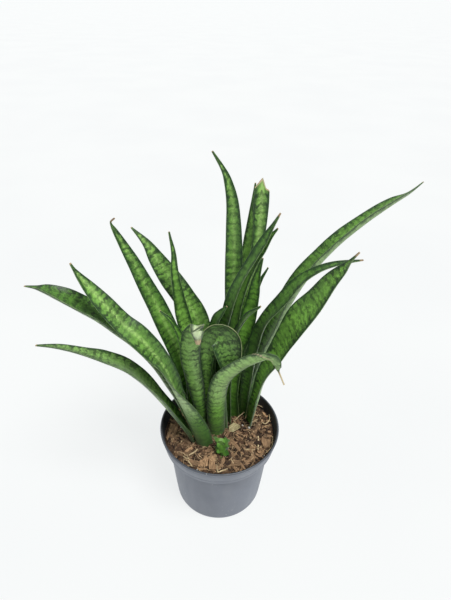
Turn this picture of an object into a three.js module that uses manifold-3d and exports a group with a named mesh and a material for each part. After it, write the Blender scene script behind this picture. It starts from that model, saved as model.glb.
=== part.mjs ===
// A young snake plant in a round plastic nursery pot. Millimetres, +Z up.
// The origin is the centre of the pot's flat underside, and the plant's front faces -Y.
import * as THREE from "three";
import { mergeVertices } from "three/addons/utils/BufferGeometryUtils.js";
import Module from "manifold-3d";

const wasm = await Module();
wasm.setup();

// ---- driving dimensions ----
const GAP = 0.35; // clearance round whatever stands in the soil, and between soil and pot

const POT = {
  height: 96,
  rimRadius: 60,
  collarFoot: 77.6, // height of the step under the collar
  collarFootRadius: 56.3,
  bodyRadius: 51.9, // just under the collar
  baseRadius: 45.7,
  cornerRadius: 3.5,
  wall: 1.5,
  floor: 2,
  lipRadius: 1.1,
  facets: 64,
};
const DRAIN = { count: 8, radius: 3.5, circle: 31 };

const SOIL = {
  level: 84, // mean height of the surface
  lump: 1.3, // height of the lumps either side of it
  cell: 5.5, // spacing of the points of the surface
  holeTop: 97, // the leaves' holes are cut up to this height, through any chip
};
const CHIPS = { count: 54, seed: 11, longest: 17, shortest: 6, reach: 49 };

const BLADE = {
  edge: 0.8, // thickness at the margins
  core: 2.2, // greatest thickness at the midrib
  across: 5, // points across each face
  between: 2, // rings per row of a leaf's table
  ripple: 0.35, // height of the slow wave along the margins
  rippleLength: 46,
};

// Each leaf's rib, from its foot in the soil to its tip. A row is
// [x, y, z, width, turn, cup]: turn is the blade's twist about the rib in degrees, and cup
// is half the angle of the arc that the blade makes across. inner is the way that the
// leaf's inner face looks.
const LEAVES = [
  {
    name: "leaf_left_lowest",
    inner: [0.75, 0.25, 0.6],
    rows: [
      [-26, -11, 70, 9, 0, 60],
      [-29, -13, 88, 11, 0, 60],
      [-37, -16, 111, 15, 0, 62],
      [-52, -17, 141, 18, 0, 54],
      [-67, -18, 167, 21.5, 0, 46],
      [-82, -19, 185.5, 24, 0, 38],
      [-99, -20, 196, 20, 0, 38],
      [-115, -21, 203.5, 13.5, 0, 42],
      [-134, -22, 210, 9, 0, 45],
      [-153, -23, 213, 1.2, 0, 45],
    ],
  },
  {
    name: "leaf_left_long",
    inner: [0.7, 0.25, 0.66],
    rows: [
      [-29, -1, 70, 9, 0, 55],
      [-29, -1, 88, 10, 0, 58],
      [-42, -1, 128, 14, 0, 60],
      [-51.5, -1, 150.5, 17, 0, 62],
      [-63.5, -1, 176.5, 20, -4, 62],
      [-79, -2, 200.5, 22, -8, 62],
      [-94, -3, 217.5, 24, -11, 62],
      [-105, -4, 229.5, 24, -11, 60],
      [-116, -5, 238, 22, -11, 58],
      [-129, -6, 248, 20, -11, 56],
      [-142, -6, 255.5, 14.5, -8, 50],
      [-150.5, -6, 258.5, 6.5, 0, 40],
      [-158, -6, 260, 1.2, 0, 40],
    ],
  },
  {
    name: "leaf_left_broad",
    inner: [0.5, -0.35, 0.78],
    rows: [
      [-15, -18, 70, 16, 104, 75],
      [-17, -20, 88, 18, 100, 75],
      [-27, -22, 122, 20, 76, 80],
      [-38.5, -21.5, 155.5, 20.5, 44, 70],
      [-50.5, -20, 192, 20, 10, 46],
      [-67.5, -18, 218.5, 20.5, -10, 26],
      [-81.5, -15, 232.5, 18, -12, 16],
      [-94.5, -12, 248.5, 15.5, -12, 14],
      [-105, -9, 261.5, 11.5, -8, 14],
      [-112, -7, 270.5, 7, 0, 20],
      [-115.5, -6, 276.5, 3, 0, 25],
      [-118, -5, 281.5, 1.2, 0, 30],
    ],
  },
  {
    name: "leaf_left_dry_tip",
    inner: [0.45, -0.75, 0.5],
    rows: [
      [-21.5, 17.5, 70, 10, 0, 55],
      [-21.5, 18, 88, 11.5, 0, 52],
      [-32.5, 21, 135, 19, 0, 42],
      [-43, 24.5, 172, 19.5, 0, 30],
      [-52, 29, 195, 19.5, 0, 20],
      [-61, 34, 216, 18, 0, 16],
      [-70.5, 38, 236, 15.5, 0, 14],
      [-79, 42, 254, 12, 0, 14],
      [-88, 46, 271, 8.5, 0, 18],
      [-95, 49, 284, 4.5, 0, 25],
      [-97.5, 50, 289, 1.6, 0, 30],
      [-97.5, 50, 292, 1.2, 0, 30],
      [-94, 50, 295, 1, 0, 30],
    ],
  },
  {
    name: "leaf_left_narrow",
    inner: [0.6, -0.6, 0.5],
    rows: [
      [-30, 8.5, 70, 7, 0, 55],
      [-30, 8.5, 88, 7, 0, 55],
      [-32.5, 14, 155, 7, 0, 50],
      [-37.5, 15.5, 190, 7.5, 0, 40],
      [-45, 16, 211, 4.5, 0, 30],
      [-55.5, 18, 221.5, 1.2, 0, 30],
    ],
  },
  {
    name: "leaf_back_left_broad",
    inner: [0.4, -0.8, 0.45],
    rows: [
      [-13, 30, 70, 11, 0, 55],
      [-13, 30, 88, 13, 0, 50],
      [-16, 41, 139.5, 18, 0, 30],
      [-24, 48, 188, 23, 0, 18],
      [-38, 52.5, 214.5, 21.5, 0, 14],
      [-51, 58, 232, 21, 0, 12],
      [-62.5, 62, 249, 15.5, 0, 12],
      [-72, 66, 264, 8, 0, 18],
      [-85, 69, 278, 1.2, 0, 20],
    ],
  },
  {
    name: "leaf_back_left_slim",
    inner: [0.3, -0.8, 0.5],
    rows: [
      [-11.5, 22.5, 70, 6.5, 0, 55],
      [-11.5, 22.5, 88, 7, 0, 50],
      [-17, 27, 115, 9, 0, 45],
      [-25.5, 33, 147, 11.5, 0, 38],
      [-36.5, 39, 194, 14.5, 0, 30],
      [-41, 41.5, 219.5, 11, 0, 30],
      [-44, 43, 246, 7.5, 0, 38],
      [-44.5, 45, 266, 4, 0, 45],
      [-47.5, 47, 285, 1.2, 0, 40],
    ],
  },
  {
    name: "leaf_centre_tallest",
    inner: [0.05, -0.9, 0.4],
    rows: [
      [-1, 24, 70, 11, 0, 50],
      [-1, 24, 88, 12, 0, 50],
      [7.5, 32, 146, 13, 0, 36],
      [10, 38, 198, 15.5, 0, 25],
      [9.5, 43, 246, 16, 0, 16],
      [8.5, 47, 283, 14, 0, 12],
      [6.5, 51, 311, 10.5, 0, 14],
      [2.5, 54, 328, 7, 0, 18],
      [-2, 57, 338, 4, 0, 20],
      [-11, 60, 351, 1.2, 0, 25],
    ],
  },
  {
    name: "leaf_broken_top",
    inner: [-0.1, -0.9, 0.4],
    torn: [1, 5, 9, 0.5, -1],
    rows: [
      [18, 33, 70, 10, 0, 50],
      [18, 33, 88, 11, 0, 50],
      [16, 38, 127, 13.5, 0, 35],
      [21, 42, 190, 13.5, 0, 25],
      [26, 46, 233, 12, 0, 18],
      [29.5, 50, 268, 10.5, 0, 16],
      [31, 52, 291, 11.5, 0, 14],
      [31, 54, 309, 13, 0, 12],
      [31, 56, 322, 12.5, 0, 12],
    ],
  },
  {
    name: "leaf_behind_broken",
    inner: [-0.2, -0.9, 0.4],
    rows: [
      [7, 36, 70, 9, 0, 50],
      [7, 36, 88, 10, 0, 50],
      [10, 46, 119, 13, 0, 35],
      [17, 52, 182, 13, 0, 25],
      [22, 57, 230, 13, 0, 20],
      [22.5, 61, 265, 11, 0, 22],
      [24, 64, 284, 8.5, 0, 28],
      [24, 67, 301, 3.5, 0, 35],
      [26, 70, 322, 1.2, 0, 35],
    ],
  },
  {
    name: "leaf_channelled",
    inner: [-0.5, -0.5, 0.7],
    rows: [
      [1, 12, 70, 6.5, 0, 55],
      [1, 12, 88, 7, 0, 58],
      [-0.5, 13, 138, 9.5, 0, 64],
      [0.5, 15, 188, 11, 0, 62],
      [7, 15.5, 229, 12, 0, 56],
      [14, 16, 254, 10, 0, 50],
      [24, 18, 275, 9.5, 0, 45],
      [33.5, 20, 293.5, 8, 0, 40],
      [39.5, 22, 305.5, 4, 0, 40],
      [44, 23, 315, 1.2, 0, 35],
    ],
  },
  {
    name: "leaf_leaning_right",
    inner: [-0.5, -0.6, 0.65],
    rows: [
      [9, 12, 70, 8, 0, 55],
      [9, 12, 88, 9, 0, 58],
      [7.5, 13.5, 150, 10.5, 0, 56],
      [11.5, 14.5, 199, 11.5, 0, 50],
      [13.5, 16, 226, 10, 0, 36],
      [18, 17, 250, 9.5, 0, 32],
      [25.5, 19, 270.5, 8, 0, 28],
      [32.5, 20, 284.5, 7, 0, 30],
      [38, 21, 295.5, 4, 0, 35],
      [43, 22, 302.5, 1.2, 0, 35],
    ],
  },
  {
    name: "leaf_inner_right",
    inner: [-0.35, -0.8, 0.5],
    rows: [
      [16, 19, 70, 9, 0, 55],
      [16, 19, 88, 10, 0, 58],
      [13.5, 22.5, 121, 11.5, 0, 56],
      [17.5, 26, 170, 13, 0, 45],
      [24, 28, 204, 15.5, 0, 30],
      [28, 31, 231, 11.5, 0, 25],
      [30, 33, 250, 7, 0, 30],
      [34, 35, 268, 1.2, 0, 30],
    ],
  },
  {
    name: "leaf_back_right_small",
    inner: [-0.4, -0.8, 0.5],
    rows: [
      [28, 33, 70, 6, 0, 50],
      [28, 33, 88, 7, 0, 50],
      [26.5, 39, 126, 7, 0, 40],
      [26.5, 44, 188, 5.5, 0, 35],
      [32.5, 48, 229, 4, 0, 35],
      [41, 51, 249.5, 1.2, 0, 30],
    ],
  },
  {
    name: "leaf_short_dark",
    inner: [-0.6, -0.1, 0.8],
    rows: [
      [7.5, 4.5, 70, 7, 0, 60],
      [7.5, 4.5, 88, 7.5, 0, 60],
      [4, 2.5, 161, 9, 0, 55],
      [11, 4, 202, 10, 0, 50],
      [20, 2, 227, 8, 0, 50],
      [32, -2, 243, 1.2, 0, 45],
    ],
  },
  {
    name: "leaf_right_longest",
    inner: [-0.55, 0.35, 0.72],
    rows: [
      [34, 25, 70, 9, 0, 55],
      [34, 25, 88, 11, 0, 58],
      [39.5, 31, 139, 25.5, 16, 60],
      [56.5, 38, 201, 27, 24, 64],
      [75, 44.5, 241.5, 25, 17, 68],
      [98, 52.5, 270, 21.5, 12, 68],
      [125, 62.5, 292, 19.5, 10, 62],
      [151, 73.5, 307, 14.5, 6, 54],
      [165, 81, 313, 6, 0, 45],
      [176, 86, 321, 1.2, 0, 45],
    ],
  },
  {
    name: "leaf_right_arched",
    inner: [-0.5, -0.3, 0.8],
    rows: [
      [24.5, 20.5, 70, 7.5, 40, 55],
      [24.5, 20.5, 88, 7.5, 36, 60],
      [27, 17.5, 138, 12.5, 20, 58],
      [31.5, 14, 188, 14.5, 8, 48],
      [38, 12, 217, 14.5, 0, 40],
      [51, 10, 240.5, 14.5, 0, 32],
      [62.5, 10, 259, 13, 0, 28],
      [75, 8, 272, 8, 0, 32],
      [90, 8, 279, 5, 0, 35],
      [111, 7, 284, 1.2, 0, 35],
    ],
  },
  {
    name: "leaf_right_broad",
    inner: [-0.55, -0.25, 0.8],
    rows: [
      [32, 10.5, 70, 11, 0, 55],
      [32, 10.5, 88, 12, 0, 55],
      [37, 6, 131, 15, 0, 60],
      [41, 0, 165, 17, 4, 50],
      [51, -4, 196.5, 21.5, 10, 34],
      [61.5, -9, 232, 27, 12, 18],
      [73.5, -13, 257, 22.5, 12, 14],
      [82.5, -16, 277.5, 16, 8, 14],
      [89.5, -19, 290.5, 9.5, 4, 18],
      [93, -21, 299, 3.5, 0, 25],
      [97, -22, 306, 1.2, 0, 30],
    ],
  },
  {
    name: "leaf_front_arched",
    inner: [-0.1, 1, 0.1],
    rows: [
      [-3, -5, 70, 15, 0, 50],
      [-3, -6, 88, 17, 0, 52],
      [-3, -10, 140, 18, 0, 48],
      [2, -15, 170, 17, 0, 40],
      [15, -22, 193, 15.5, 0, 30],
      [29, -29, 208, 14, 8, 38],
      [39.5, -34, 214, 15, 36, 52],
      [45, -37, 209, 8.5, 50, 55],
      [47, -37, 204, 1.3, 0, 40],
      [51, -37, 194, 1, 0, 30],
      [53, -37, 189, 1, 0, 30],
    ],
  },
  {
    name: "leaf_curled_tip",
    inner: [-0.1, 0.9, 0.3],
    rows: [
      [-16, 1, 70, 8, 0, 50],
      [-16, 0, 88, 9, 0, 55],
      [-22, -3, 139, 14, 0, 50],
      [-27, -7, 184, 17, 0, 40],
      [-25, -11, 214, 17, 0, 34],
      [-20, -16, 231, 11.5, 0, 40],
      [-19, -25, 233, 11, 0, 40],
      [-18.5, -27.5, 222, 3, 0, 30],
    ],
  },
  {
    name: "leaf_hooked",
    inner: [0, -1, 0],
    rows: [
      [-11, 8, 70, 8, 0, 50],
      [-11, 8, 88, 9, 0, 55],
      [-13, 5, 153, 9, 0, 55],
      [-13, 3, 183, 13, 0, 50],
      [-9.5, 0, 206, 19, 0, 46],
      [-2.5, -1, 214, 25, 0, 48],
      [4, -3, 209, 26, 0, 50],
      [7, -7, 194, 22, 0, 50],
      [8, -9, 178, 14, 0, 46],
    ],
  },
  {
    name: "leaf_centre_short",
    inner: [-0.5, -0.6, 0.6],
    rows: [
      [-7, 14, 70, 6, 0, 50],
      [-7, 14, 88, 7, 0, 50],
      [-8.5, 13, 179, 12, 0, 40],
      [-5.5, 12, 214, 10.5, 0, 35],
      [-1, 11.5, 225, 7.5, 0, 30],
      [4, 11, 233, 1.2, 0, 30],
    ],
  },
  {
    name: "leaf_torn_stub",
    inner: [0.1, 0.9, 0.3],
    torn: [-3, 3, -2, 4, -1],
    rows: [
      [3, -30.5, 70, 9, 0, 60],
      [3, -30.5, 84, 10.5, 0, 65],
      [2.5, -30, 96, 12, 0, 70],
      [2, -29, 105.5, 11, 0, 70],
    ],
  },
];

// The dry scrap lies on the soil, so all of it is above the surface.
const SCRAP = {
  name: "dry_leaf_scrap",
  inner: [0, 0, 1],
  rows: [
    [9.5, -2.5, 87, 3, 0, 14],
    [12.5, -0.5, 88, 8.5, 0, 22],
    [16.5, 2.5, 88.5, 9.5, 0, 26],
    [20, 5.5, 87.5, 3.5, 0, 20],
  ],
};

// ---- solids ----

function meshFrom(points, triangles) {
  const geometry = new THREE.BufferGeometry();
  geometry.setAttribute("position", new THREE.Float32BufferAttribute(points.flat(), 3));
  geometry.setIndex(triangles.flat());
  return geometry;
}

function solidFrom(geometry) {
  const bare = geometry.index ? geometry.clone() : mergeVertices(geometry.clone());
  bare.deleteAttribute("normal");
  bare.deleteAttribute("uv");
  const merged = mergeVertices(bare, 1e-3);
  return new wasm.Manifold(
    new wasm.Mesh({
      numProp: 3,
      vertProperties: merged.attributes.position.array,
      triVerts: new Uint32Array(merged.index.array),
    }),
  );
}

function geometryFrom(solid) {
  const mesh = solid.getMesh();
  const geometry = new THREE.BufferGeometry();
  geometry.setAttribute("position", new THREE.BufferAttribute(mesh.vertProperties, 3));
  geometry.setIndex(new THREE.BufferAttribute(mesh.triVerts, 1));
  return geometry;
}

function largestPiece(solid) {
  const pieces = solid.decompose();
  pieces.sort((a, b) => b.volume() - a.volume());
  return pieces[0];
}

// A seeded draw between 0 and 1, the same on every run.
function drawFrom(seed) {
  let state = seed;
  return () => {
    state = (state * 1664525 + 1013904223) % 4294967296;
    return state / 4294967296;
  };
}

// ---- leaves ----

const RADIANS = Math.PI / 180;

// A smooth curve through every row of a table, at t from 0 to the last row's number.
function rowAt(rows, t) {
  const last = rows.length - 1;
  const i = Math.min(Math.max(Math.floor(t), 0), last - 1);
  const k = t - i;
  const b = rows[i];
  const c = rows[i + 1];
  const a = i > 0 ? rows[i - 1] : b.map((v, j) => 2 * v - c[j]);
  const d = i + 2 <= last ? rows[i + 2] : c.map((v, j) => 2 * v - b[j]);
  return b.map((_, j) => {
    const slope = (c[j] - a[j]) * k;
    const bend = (2 * a[j] - 5 * b[j] + 4 * c[j] - d[j]) * k * k;
    const twist = (3 * b[j] - a[j] - 3 * c[j] + d[j]) * k * k * k;
    return b[j] + 0.5 * (slope + bend + twist);
  });
}

// The directions along the rib, out of the inner face and across the blade at t.
function frameAt(leaf, t) {
  const last = leaf.rows.length - 1;
  const before = new THREE.Vector3(...rowAt(leaf.rows, Math.max(t - 0.05, 0)));
  const after = new THREE.Vector3(...rowAt(leaf.rows, Math.min(t + 0.05, last)));
  const along = after.sub(before).normalize();
  const out = new THREE.Vector3(...leaf.inner);
  out.addScaledVector(along, -out.dot(along)).normalize();
  out.applyAxisAngle(along, rowAt(leaf.rows, t)[4] * RADIANS);
  return { along, out, side: new THREE.Vector3().crossVectors(along, out) };
}

// One ring of the blade: the inner face from one margin to the other, then the outer face
// back. grow makes it larger all round, for the hole that it stands in.
function bladeRing(leaf, t, grow) {
  const [x, y, z, width, , cup] = rowAt(leaf.rows, t);
  const { along, out, side } = frameAt(leaf, t);
  const angle = Math.max(cup, 5) * RADIANS;
  const radius = Math.max(width, 1) / 2 / Math.sin(Math.min(angle, Math.PI / 2));
  const spread = 1 + grow / (radius * angle);
  const core = Math.min(BLADE.core, 0.7 + 0.12 * width);
  const length = leaf.rows.length - 1;
  const travelled = new THREE.Vector3(x, y, z).distanceTo(new THREE.Vector3(...leaf.rows[0]));
  const ripple = BLADE.ripple * Math.sin((travelled / BLADE.rippleLength) * 2 * Math.PI);
  const faces = [[], []];
  for (let i = 0; i < BLADE.across; i++) {
    const u = (2 * i) / (BLADE.across - 1) - 1;
    const thick = Math.max(core, BLADE.edge) * (1 - u * u) + BLADE.edge * u * u;
    const bend = angle * spread * u;
    const normal = out.clone().multiplyScalar(Math.cos(bend));
    normal.addScaledVector(side, -Math.sin(bend));
    const middle = new THREE.Vector3(x, y, z)
      .addScaledVector(side, radius * Math.sin(bend))
      .addScaledVector(out, radius * (1 - Math.cos(bend)) + ripple * u ** 3);
    if (leaf.torn && t === length) middle.addScaledVector(along, leaf.torn[i]);
    const offset = thick / 2 + grow;
    faces[0].push(middle.clone().addScaledVector(normal, offset).toArray());
    faces[1].unshift(middle.clone().addScaledVector(normal, -offset).toArray());
  }
  return faces.flat();
}

// Joins rings into one closed skin. Both faces are split into triangles alike.
function bladeSkin(rings) {
  const count = rings[0].length;
  const half = count / 2;
  const triangles = [];
  for (let r = 0; r < rings.length - 1; r++) {
    const low = r * count;
    const high = low + count;
    for (let i = 0; i < count; i++) {
      const j = (i + 1) % count;
      if (i < half) triangles.push([low + i, high + j, high + i], [low + i, low + j, high + j]);
      else triangles.push([low + i, low + j, high + i], [low + j, high + j, high + i]);
    }
  }
  const top = (rings.length - 1) * count;
  for (let i = 0; i < half - 1; i++) {
    const across = count - 1 - i;
    triangles.push([i, across - 1, i + 1], [i, across, across - 1]);
    triangles.push([top + i, top + i + 1, top + across - 1]);
    triangles.push([top + i, top + across - 1, top + across]);
  }
  return meshFrom(rings.flat(), triangles);
}

// Where the rings of a leaf are, along its table: its foot is straight, so it has none
// between its first two rows.
function ringStops(leaf) {
  const stops = [0];
  const steps = (leaf.rows.length - 1) * BLADE.between;
  for (let i = BLADE.between; i <= steps; i++) stops.push(i / BLADE.between);
  return stops;
}

function leafGeometry(leaf) {
  return bladeSkin(ringStops(leaf).map((t) => bladeRing(leaf, t, 0)));
}

// The hole that a leaf's foot stands in: the same form, larger by the clearance.
function footHole(leaf) {
  const stops = ringStops(leaf);
  const above = stops.findIndex((t) => rowAt(leaf.rows, t)[2] > SOIL.holeTop);
  const rings = stops.slice(0, above + 1).map((t) => bladeRing(leaf, t, GAP));
  const { along } = frameAt(leaf, 0);
  rings[0] = rings[0].map((p) => p.map((v, i) => v - along.getComponent(i) * GAP));
  return solidFrom(bladeSkin(rings));
}

// ---- pot ----

// Radius of the pot's outside at a height.
function potRadius(z) {
  const { baseRadius, bodyRadius, collarFoot, collarFootRadius, rimRadius, height } = POT;
  if (z < collarFoot) return THREE.MathUtils.mapLinear(z, 0, collarFoot, baseRadius, bodyRadius);
  return THREE.MathUtils.mapLinear(z, collarFoot, height, collarFootRadius, rimRadius);
}

function potProfile() {
  const { height, collarFoot, cornerRadius, wall, floor, lipRadius } = POT;
  const outline = [[0, 0]];
  const footRadius = potRadius(0) - cornerRadius;
  for (let i = 0; i <= 4; i++) {
    const a = (i / 4) * (Math.PI / 2);
    outline.push([
      footRadius + cornerRadius * Math.sin(a),
      cornerRadius * (1 - Math.cos(a)),
    ]);
  }
  outline.push([potRadius(collarFoot - 0.01), collarFoot]);
  outline.push([potRadius(collarFoot) - 0.6, collarFoot]);
  outline.push([potRadius(collarFoot + 0.6), collarFoot + 0.6]);
  outline.push([potRadius(height - lipRadius), height - lipRadius]);
  outline.push([potRadius(height) - 0.35, height - 0.3]);
  outline.push([potRadius(height) - lipRadius, height]);
  outline.push([potRadius(height) - lipRadius - 0.8, height - 0.3]);
  outline.push([potRadius(height - 3) - wall - 0.3, height - 3]);
  outline.push([potRadius(collarFoot + wall) - wall, collarFoot + wall]);
  outline.push([potRadius(collarFoot - 0.01) - wall, collarFoot - 1]);
  outline.push([potRadius(floor) - wall, floor + 1.5]);
  outline.push([potRadius(floor) - wall - 1.5, floor]);
  outline.push([0, floor]);
  return outline.map(([r, z]) => new THREE.Vector2(r, z));
}

function turned(profile, facets) {
  const geometry = new THREE.LatheGeometry(profile, facets);
  geometry.rotateX(Math.PI / 2);
  return geometry;
}

function potGeometry() {
  let pot = solidFrom(turned(potProfile(), POT.facets));
  for (let i = 0; i < DRAIN.count; i++) {
    const angle = ((i + 0.5) / DRAIN.count) * 2 * Math.PI;
    const drill = new THREE.CylinderGeometry(DRAIN.radius, DRAIN.radius, 3 * POT.floor, 12);
    drill.rotateX(Math.PI / 2);
    drill.translate(DRAIN.circle * Math.cos(angle), DRAIN.circle * Math.sin(angle), POT.floor / 2);
    pot = pot.subtract(solidFrom(drill));
  }
  return geometryFrom(pot);
}

// ---- soil ----

// The room inside the pot, less the clearance.
function potRoom() {
  const { height, collarFoot, wall, floor } = POT;
  const inside = (z) => potRadius(z) - wall - GAP;
  const outline = [
    [0, floor + GAP],
    [inside(floor) - 2.2, floor + GAP],
    [inside(floor), floor + 2.2],
    [inside(collarFoot - 0.01) - 0.1, collarFoot - 1.2],
    [inside(collarFoot + wall) - 0.2, collarFoot + wall + 0.4],
    [inside(height - 3) - 0.5, height - 3],
    [0, height - 3],
  ];
  const profile = outline.map(([r, z]) => new THREE.Vector2(r, z));
  return solidFrom(turned(profile, POT.facets / 2));
}

// Height of the soil's surface: soft hummocks, and a little higher at the middle.
function soilHeight(x, y) {
  const hummocks = Math.sin(x * 0.31 + 0.6 * Math.sin(y * 0.23)) * Math.cos(y * 0.27 + 0.4);
  const crumbs = Math.sin(x * 0.83 + y * 0.47) * Math.sin(y * 0.91 - x * 0.29);
  const crown = 1.5 * Math.exp(-(x * x + y * y) / 900);
  return SOIL.level + crown + SOIL.lump * (0.6 * hummocks + 0.4 * crumbs);
}

function soilBlock() {
  const cells = Math.ceil((2 * POT.rimRadius) / SOIL.cell);
  const block = new THREE.BoxGeometry(1, 1, 1, cells, cells, 1);
  const place = block.attributes.position;
  for (let i = 0; i < place.count; i++) {
    const x = place.getX(i) * cells * SOIL.cell;
    const y = place.getY(i) * cells * SOIL.cell;
    place.setXYZ(i, x, y, place.getZ(i) > 0 ? soilHeight(x, y) : 0);
  }
  return solidFrom(block);
}

// Chips of bark lie at all angles, half sunk in the surface.
function barkChips() {
  const draw = drawFrom(CHIPS.seed);
  const chips = [];
  for (let i = 0; i < CHIPS.count; i++) {
    const angle = draw() * 2 * Math.PI;
    const reach = CHIPS.reach * Math.sqrt(draw());
    const length = THREE.MathUtils.lerp(CHIPS.shortest, CHIPS.longest, draw() ** 2);
    const chip = new THREE.BoxGeometry(length, 2.2 + 3 * draw(), 1.6 + 1.2 * draw());
    chip.rotateX((draw() - 0.5) * 0.9);
    chip.rotateY((draw() - 0.5) * 0.5);
    chip.rotateZ(draw() * Math.PI);
    const x = reach * Math.cos(angle);
    const y = reach * Math.sin(angle);
    chip.translate(x, y, soilHeight(x, y) + 0.3);
    chips.push(solidFrom(chip));
  }
  return chips;
}

function soilGeometry() {
  let soil = soilBlock();
  for (const chip of barkChips()) soil = soil.add(chip);
  soil = soil.intersect(potRoom());
  for (const leaf of LEAVES) soil = soil.subtract(footHole(leaf));
  soil = soil.subtract(scrapBed());
  return geometryFrom(largestPiece(soil));
}

// The room that the dry scrap lies in, open to above.
function scrapBed() {
  const rings = ringStops(SCRAP).map((t) => bladeRing(SCRAP, t, GAP));
  const lifted = rings.map((ring) => ring.map(([x, y, z]) => [x, y, z + 6]));
  return solidFrom(bladeSkin(rings)).add(solidFrom(bladeSkin(lifted)));
}

// ---- the plant ----

const finishes = {
  pot: new THREE.MeshStandardMaterial({ color: 0x7b8489, roughness: 0.55, metalness: 0 }),
  soil: new THREE.MeshStandardMaterial({ color: 0x6b4a35, roughness: 0.95, metalness: 0 }),
  leaf: new THREE.MeshStandardMaterial({ color: 0x4c7a34, roughness: 0.5, metalness: 0 }),
  dryLeaf: new THREE.MeshStandardMaterial({ color: 0xb5a06b, roughness: 0.85, metalness: 0 }),
};

function named(name, geometry, finish) {
  const mesh = new THREE.Mesh(geometry, finish);
  mesh.name = name;
  return mesh;
}

const plant = new THREE.Group();
plant.add(named("pot", potGeometry(), finishes.pot));
plant.add(named("soil", soilGeometry(), finishes.soil));
for (const leaf of LEAVES) plant.add(named(leaf.name, leafGeometry(leaf), finishes.leaf));
plant.add(named(SCRAP.name, leafGeometry(SCRAP), finishes.dryLeaf));

export default plant;
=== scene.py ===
# A young snake plant in a grey-blue nursery pot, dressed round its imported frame.
# Lengths in the constants and tables are millimetres, and pieces are placed in metres.
import math
import random

import bpy
from mathutils import Matrix, Vector, noise


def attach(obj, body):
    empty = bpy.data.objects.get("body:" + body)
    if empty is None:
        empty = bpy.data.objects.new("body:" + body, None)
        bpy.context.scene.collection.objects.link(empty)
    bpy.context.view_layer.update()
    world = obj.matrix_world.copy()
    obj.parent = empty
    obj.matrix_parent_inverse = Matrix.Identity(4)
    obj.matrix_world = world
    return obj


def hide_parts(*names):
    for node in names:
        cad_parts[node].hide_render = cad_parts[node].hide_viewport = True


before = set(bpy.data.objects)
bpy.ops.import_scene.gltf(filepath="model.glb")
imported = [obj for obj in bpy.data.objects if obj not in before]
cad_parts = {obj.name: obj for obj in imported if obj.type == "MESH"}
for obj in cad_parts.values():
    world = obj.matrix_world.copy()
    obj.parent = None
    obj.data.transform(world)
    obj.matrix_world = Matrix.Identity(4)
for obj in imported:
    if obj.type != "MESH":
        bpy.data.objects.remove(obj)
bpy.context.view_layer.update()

MM = 0.001
TURN = 2 * math.pi

# ---- camera, in metres and degrees ----
CAMERA_PLACE = Vector((0.00271, -0.30639, 0.45597))
CAMERA_DOWN = math.radians(34.27)
CAMERA_ROLL = math.radians(1.42)
CAMERA_LENS = 27.0
CAMERA_SENSOR = 36

# ---- studio ----
FLOOR_WIDTH = 300  # metres
FLOOR_GLOW = 0.79
SURROUND = 0.24  # how strong the light from all round is
# Each light's direction, strength, spread in degrees and colour.
LIGHTS = {
    "key": ((-0.32, 0.32, -0.95), 3.1, 26, (1.0, 0.99, 0.97)),
    "left": ((0.9, 0.3, -0.5), 0.3, 60, (1, 1, 1)),
    "behind": ((0.1, -0.8, -0.9), 0.45, 60, (1, 1, 1)),
}

# ---- pot ----
POT_HEIGHT = 96
POT_RIM = 60
POT_COLLAR_FOOT = 77.6
POT_COLLAR_FOOT_RADIUS = 56.3
POT_BODY = 51.9
POT_BASE = 45.7
POT_WALL = 1.5
POT_FLOOR = 2
POT_LIP = 1.1
POT_HEEL = 3.5  # radius of the edge round its underside
POT_STEPS = 160
# Mouldings round the collar: the height at which the pot's radius is taken, how far inside
# it the moulding is, and its own height. They are measured from the collar's foot, and
# those of the rim from the top.
COLLAR_MOULDINGS = [
    (-1.6, 0, -1.6), (-1.2, 0.4, -1.2), (-0.3, 0.4, -0.1), (0, 0.4, 0), (0, -0.05, 0.3),
    (0.8, 0, 0.8), (4.6, 0, 4.6), (5.0, 0.2, 4.9), (5.4, 0.05, 5.3),
]
RIM_MOULDINGS = [(-4.0, 0, -4.0), (-3.6, 0.25, -3.7), (-3.2, 0.1, -3.2)]
DRAIN_COUNT = 8
DRAIN_RADIUS = 3.5
DRAIN_CIRCLE = 31

# ---- soil ----
SOIL_LEVEL = 84
SOIL_LUMP = 1.3
SOIL_ROOM = 1.85  # wall of the pot and the clearance inside it
SOIL_CELLS = 150  # squares of its surface, each way
SOIL_STEP = 76  # height at which it narrows under the pot's collar
SOIL_FOOT = 2.6
CHIP_COUNT = 54
CHIP_SEED = 11
CHIP_LONGEST = 17
CHIP_SHORTEST = 6
CHIP_REACH = 49
SPLINTER_COUNT = 760
SPLINTER_REACH = 54.2
SPLINTER_LIMIT = 55.4  # no end of a splinter lies further out
FIBRE_COUNT = 420
FIBRE_REACH = 50
FIBRE_LIMIT = 54.5
STRAND_STOPS = 16

# ---- leaves ----
BLADE_EDGE = 0.8
BLADE_CORE = 2.2
RIPPLE = 0.35
RIPPLE_LENGTH = 46
BILLOW = 0.22  # height of the soft unevenness, and depth of the groove along the rib
PLEAT_LENGTH = 2.6
MARGIN_STEPS = (0.0, 0.13, 0.4, 1.0)  # distances of the outer columns from the margin
MIDDLE_COLUMNS = 9
STEP = 2.1  # greatest spacing of the rings along a leaf
LIP = 0.4  # width of the rounded part of a margin
TEAR_LOSS = 3  # how much of its tip a torn leaf has lost
TAN_FADE = 12  # length over which a tan margin turns green

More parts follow.
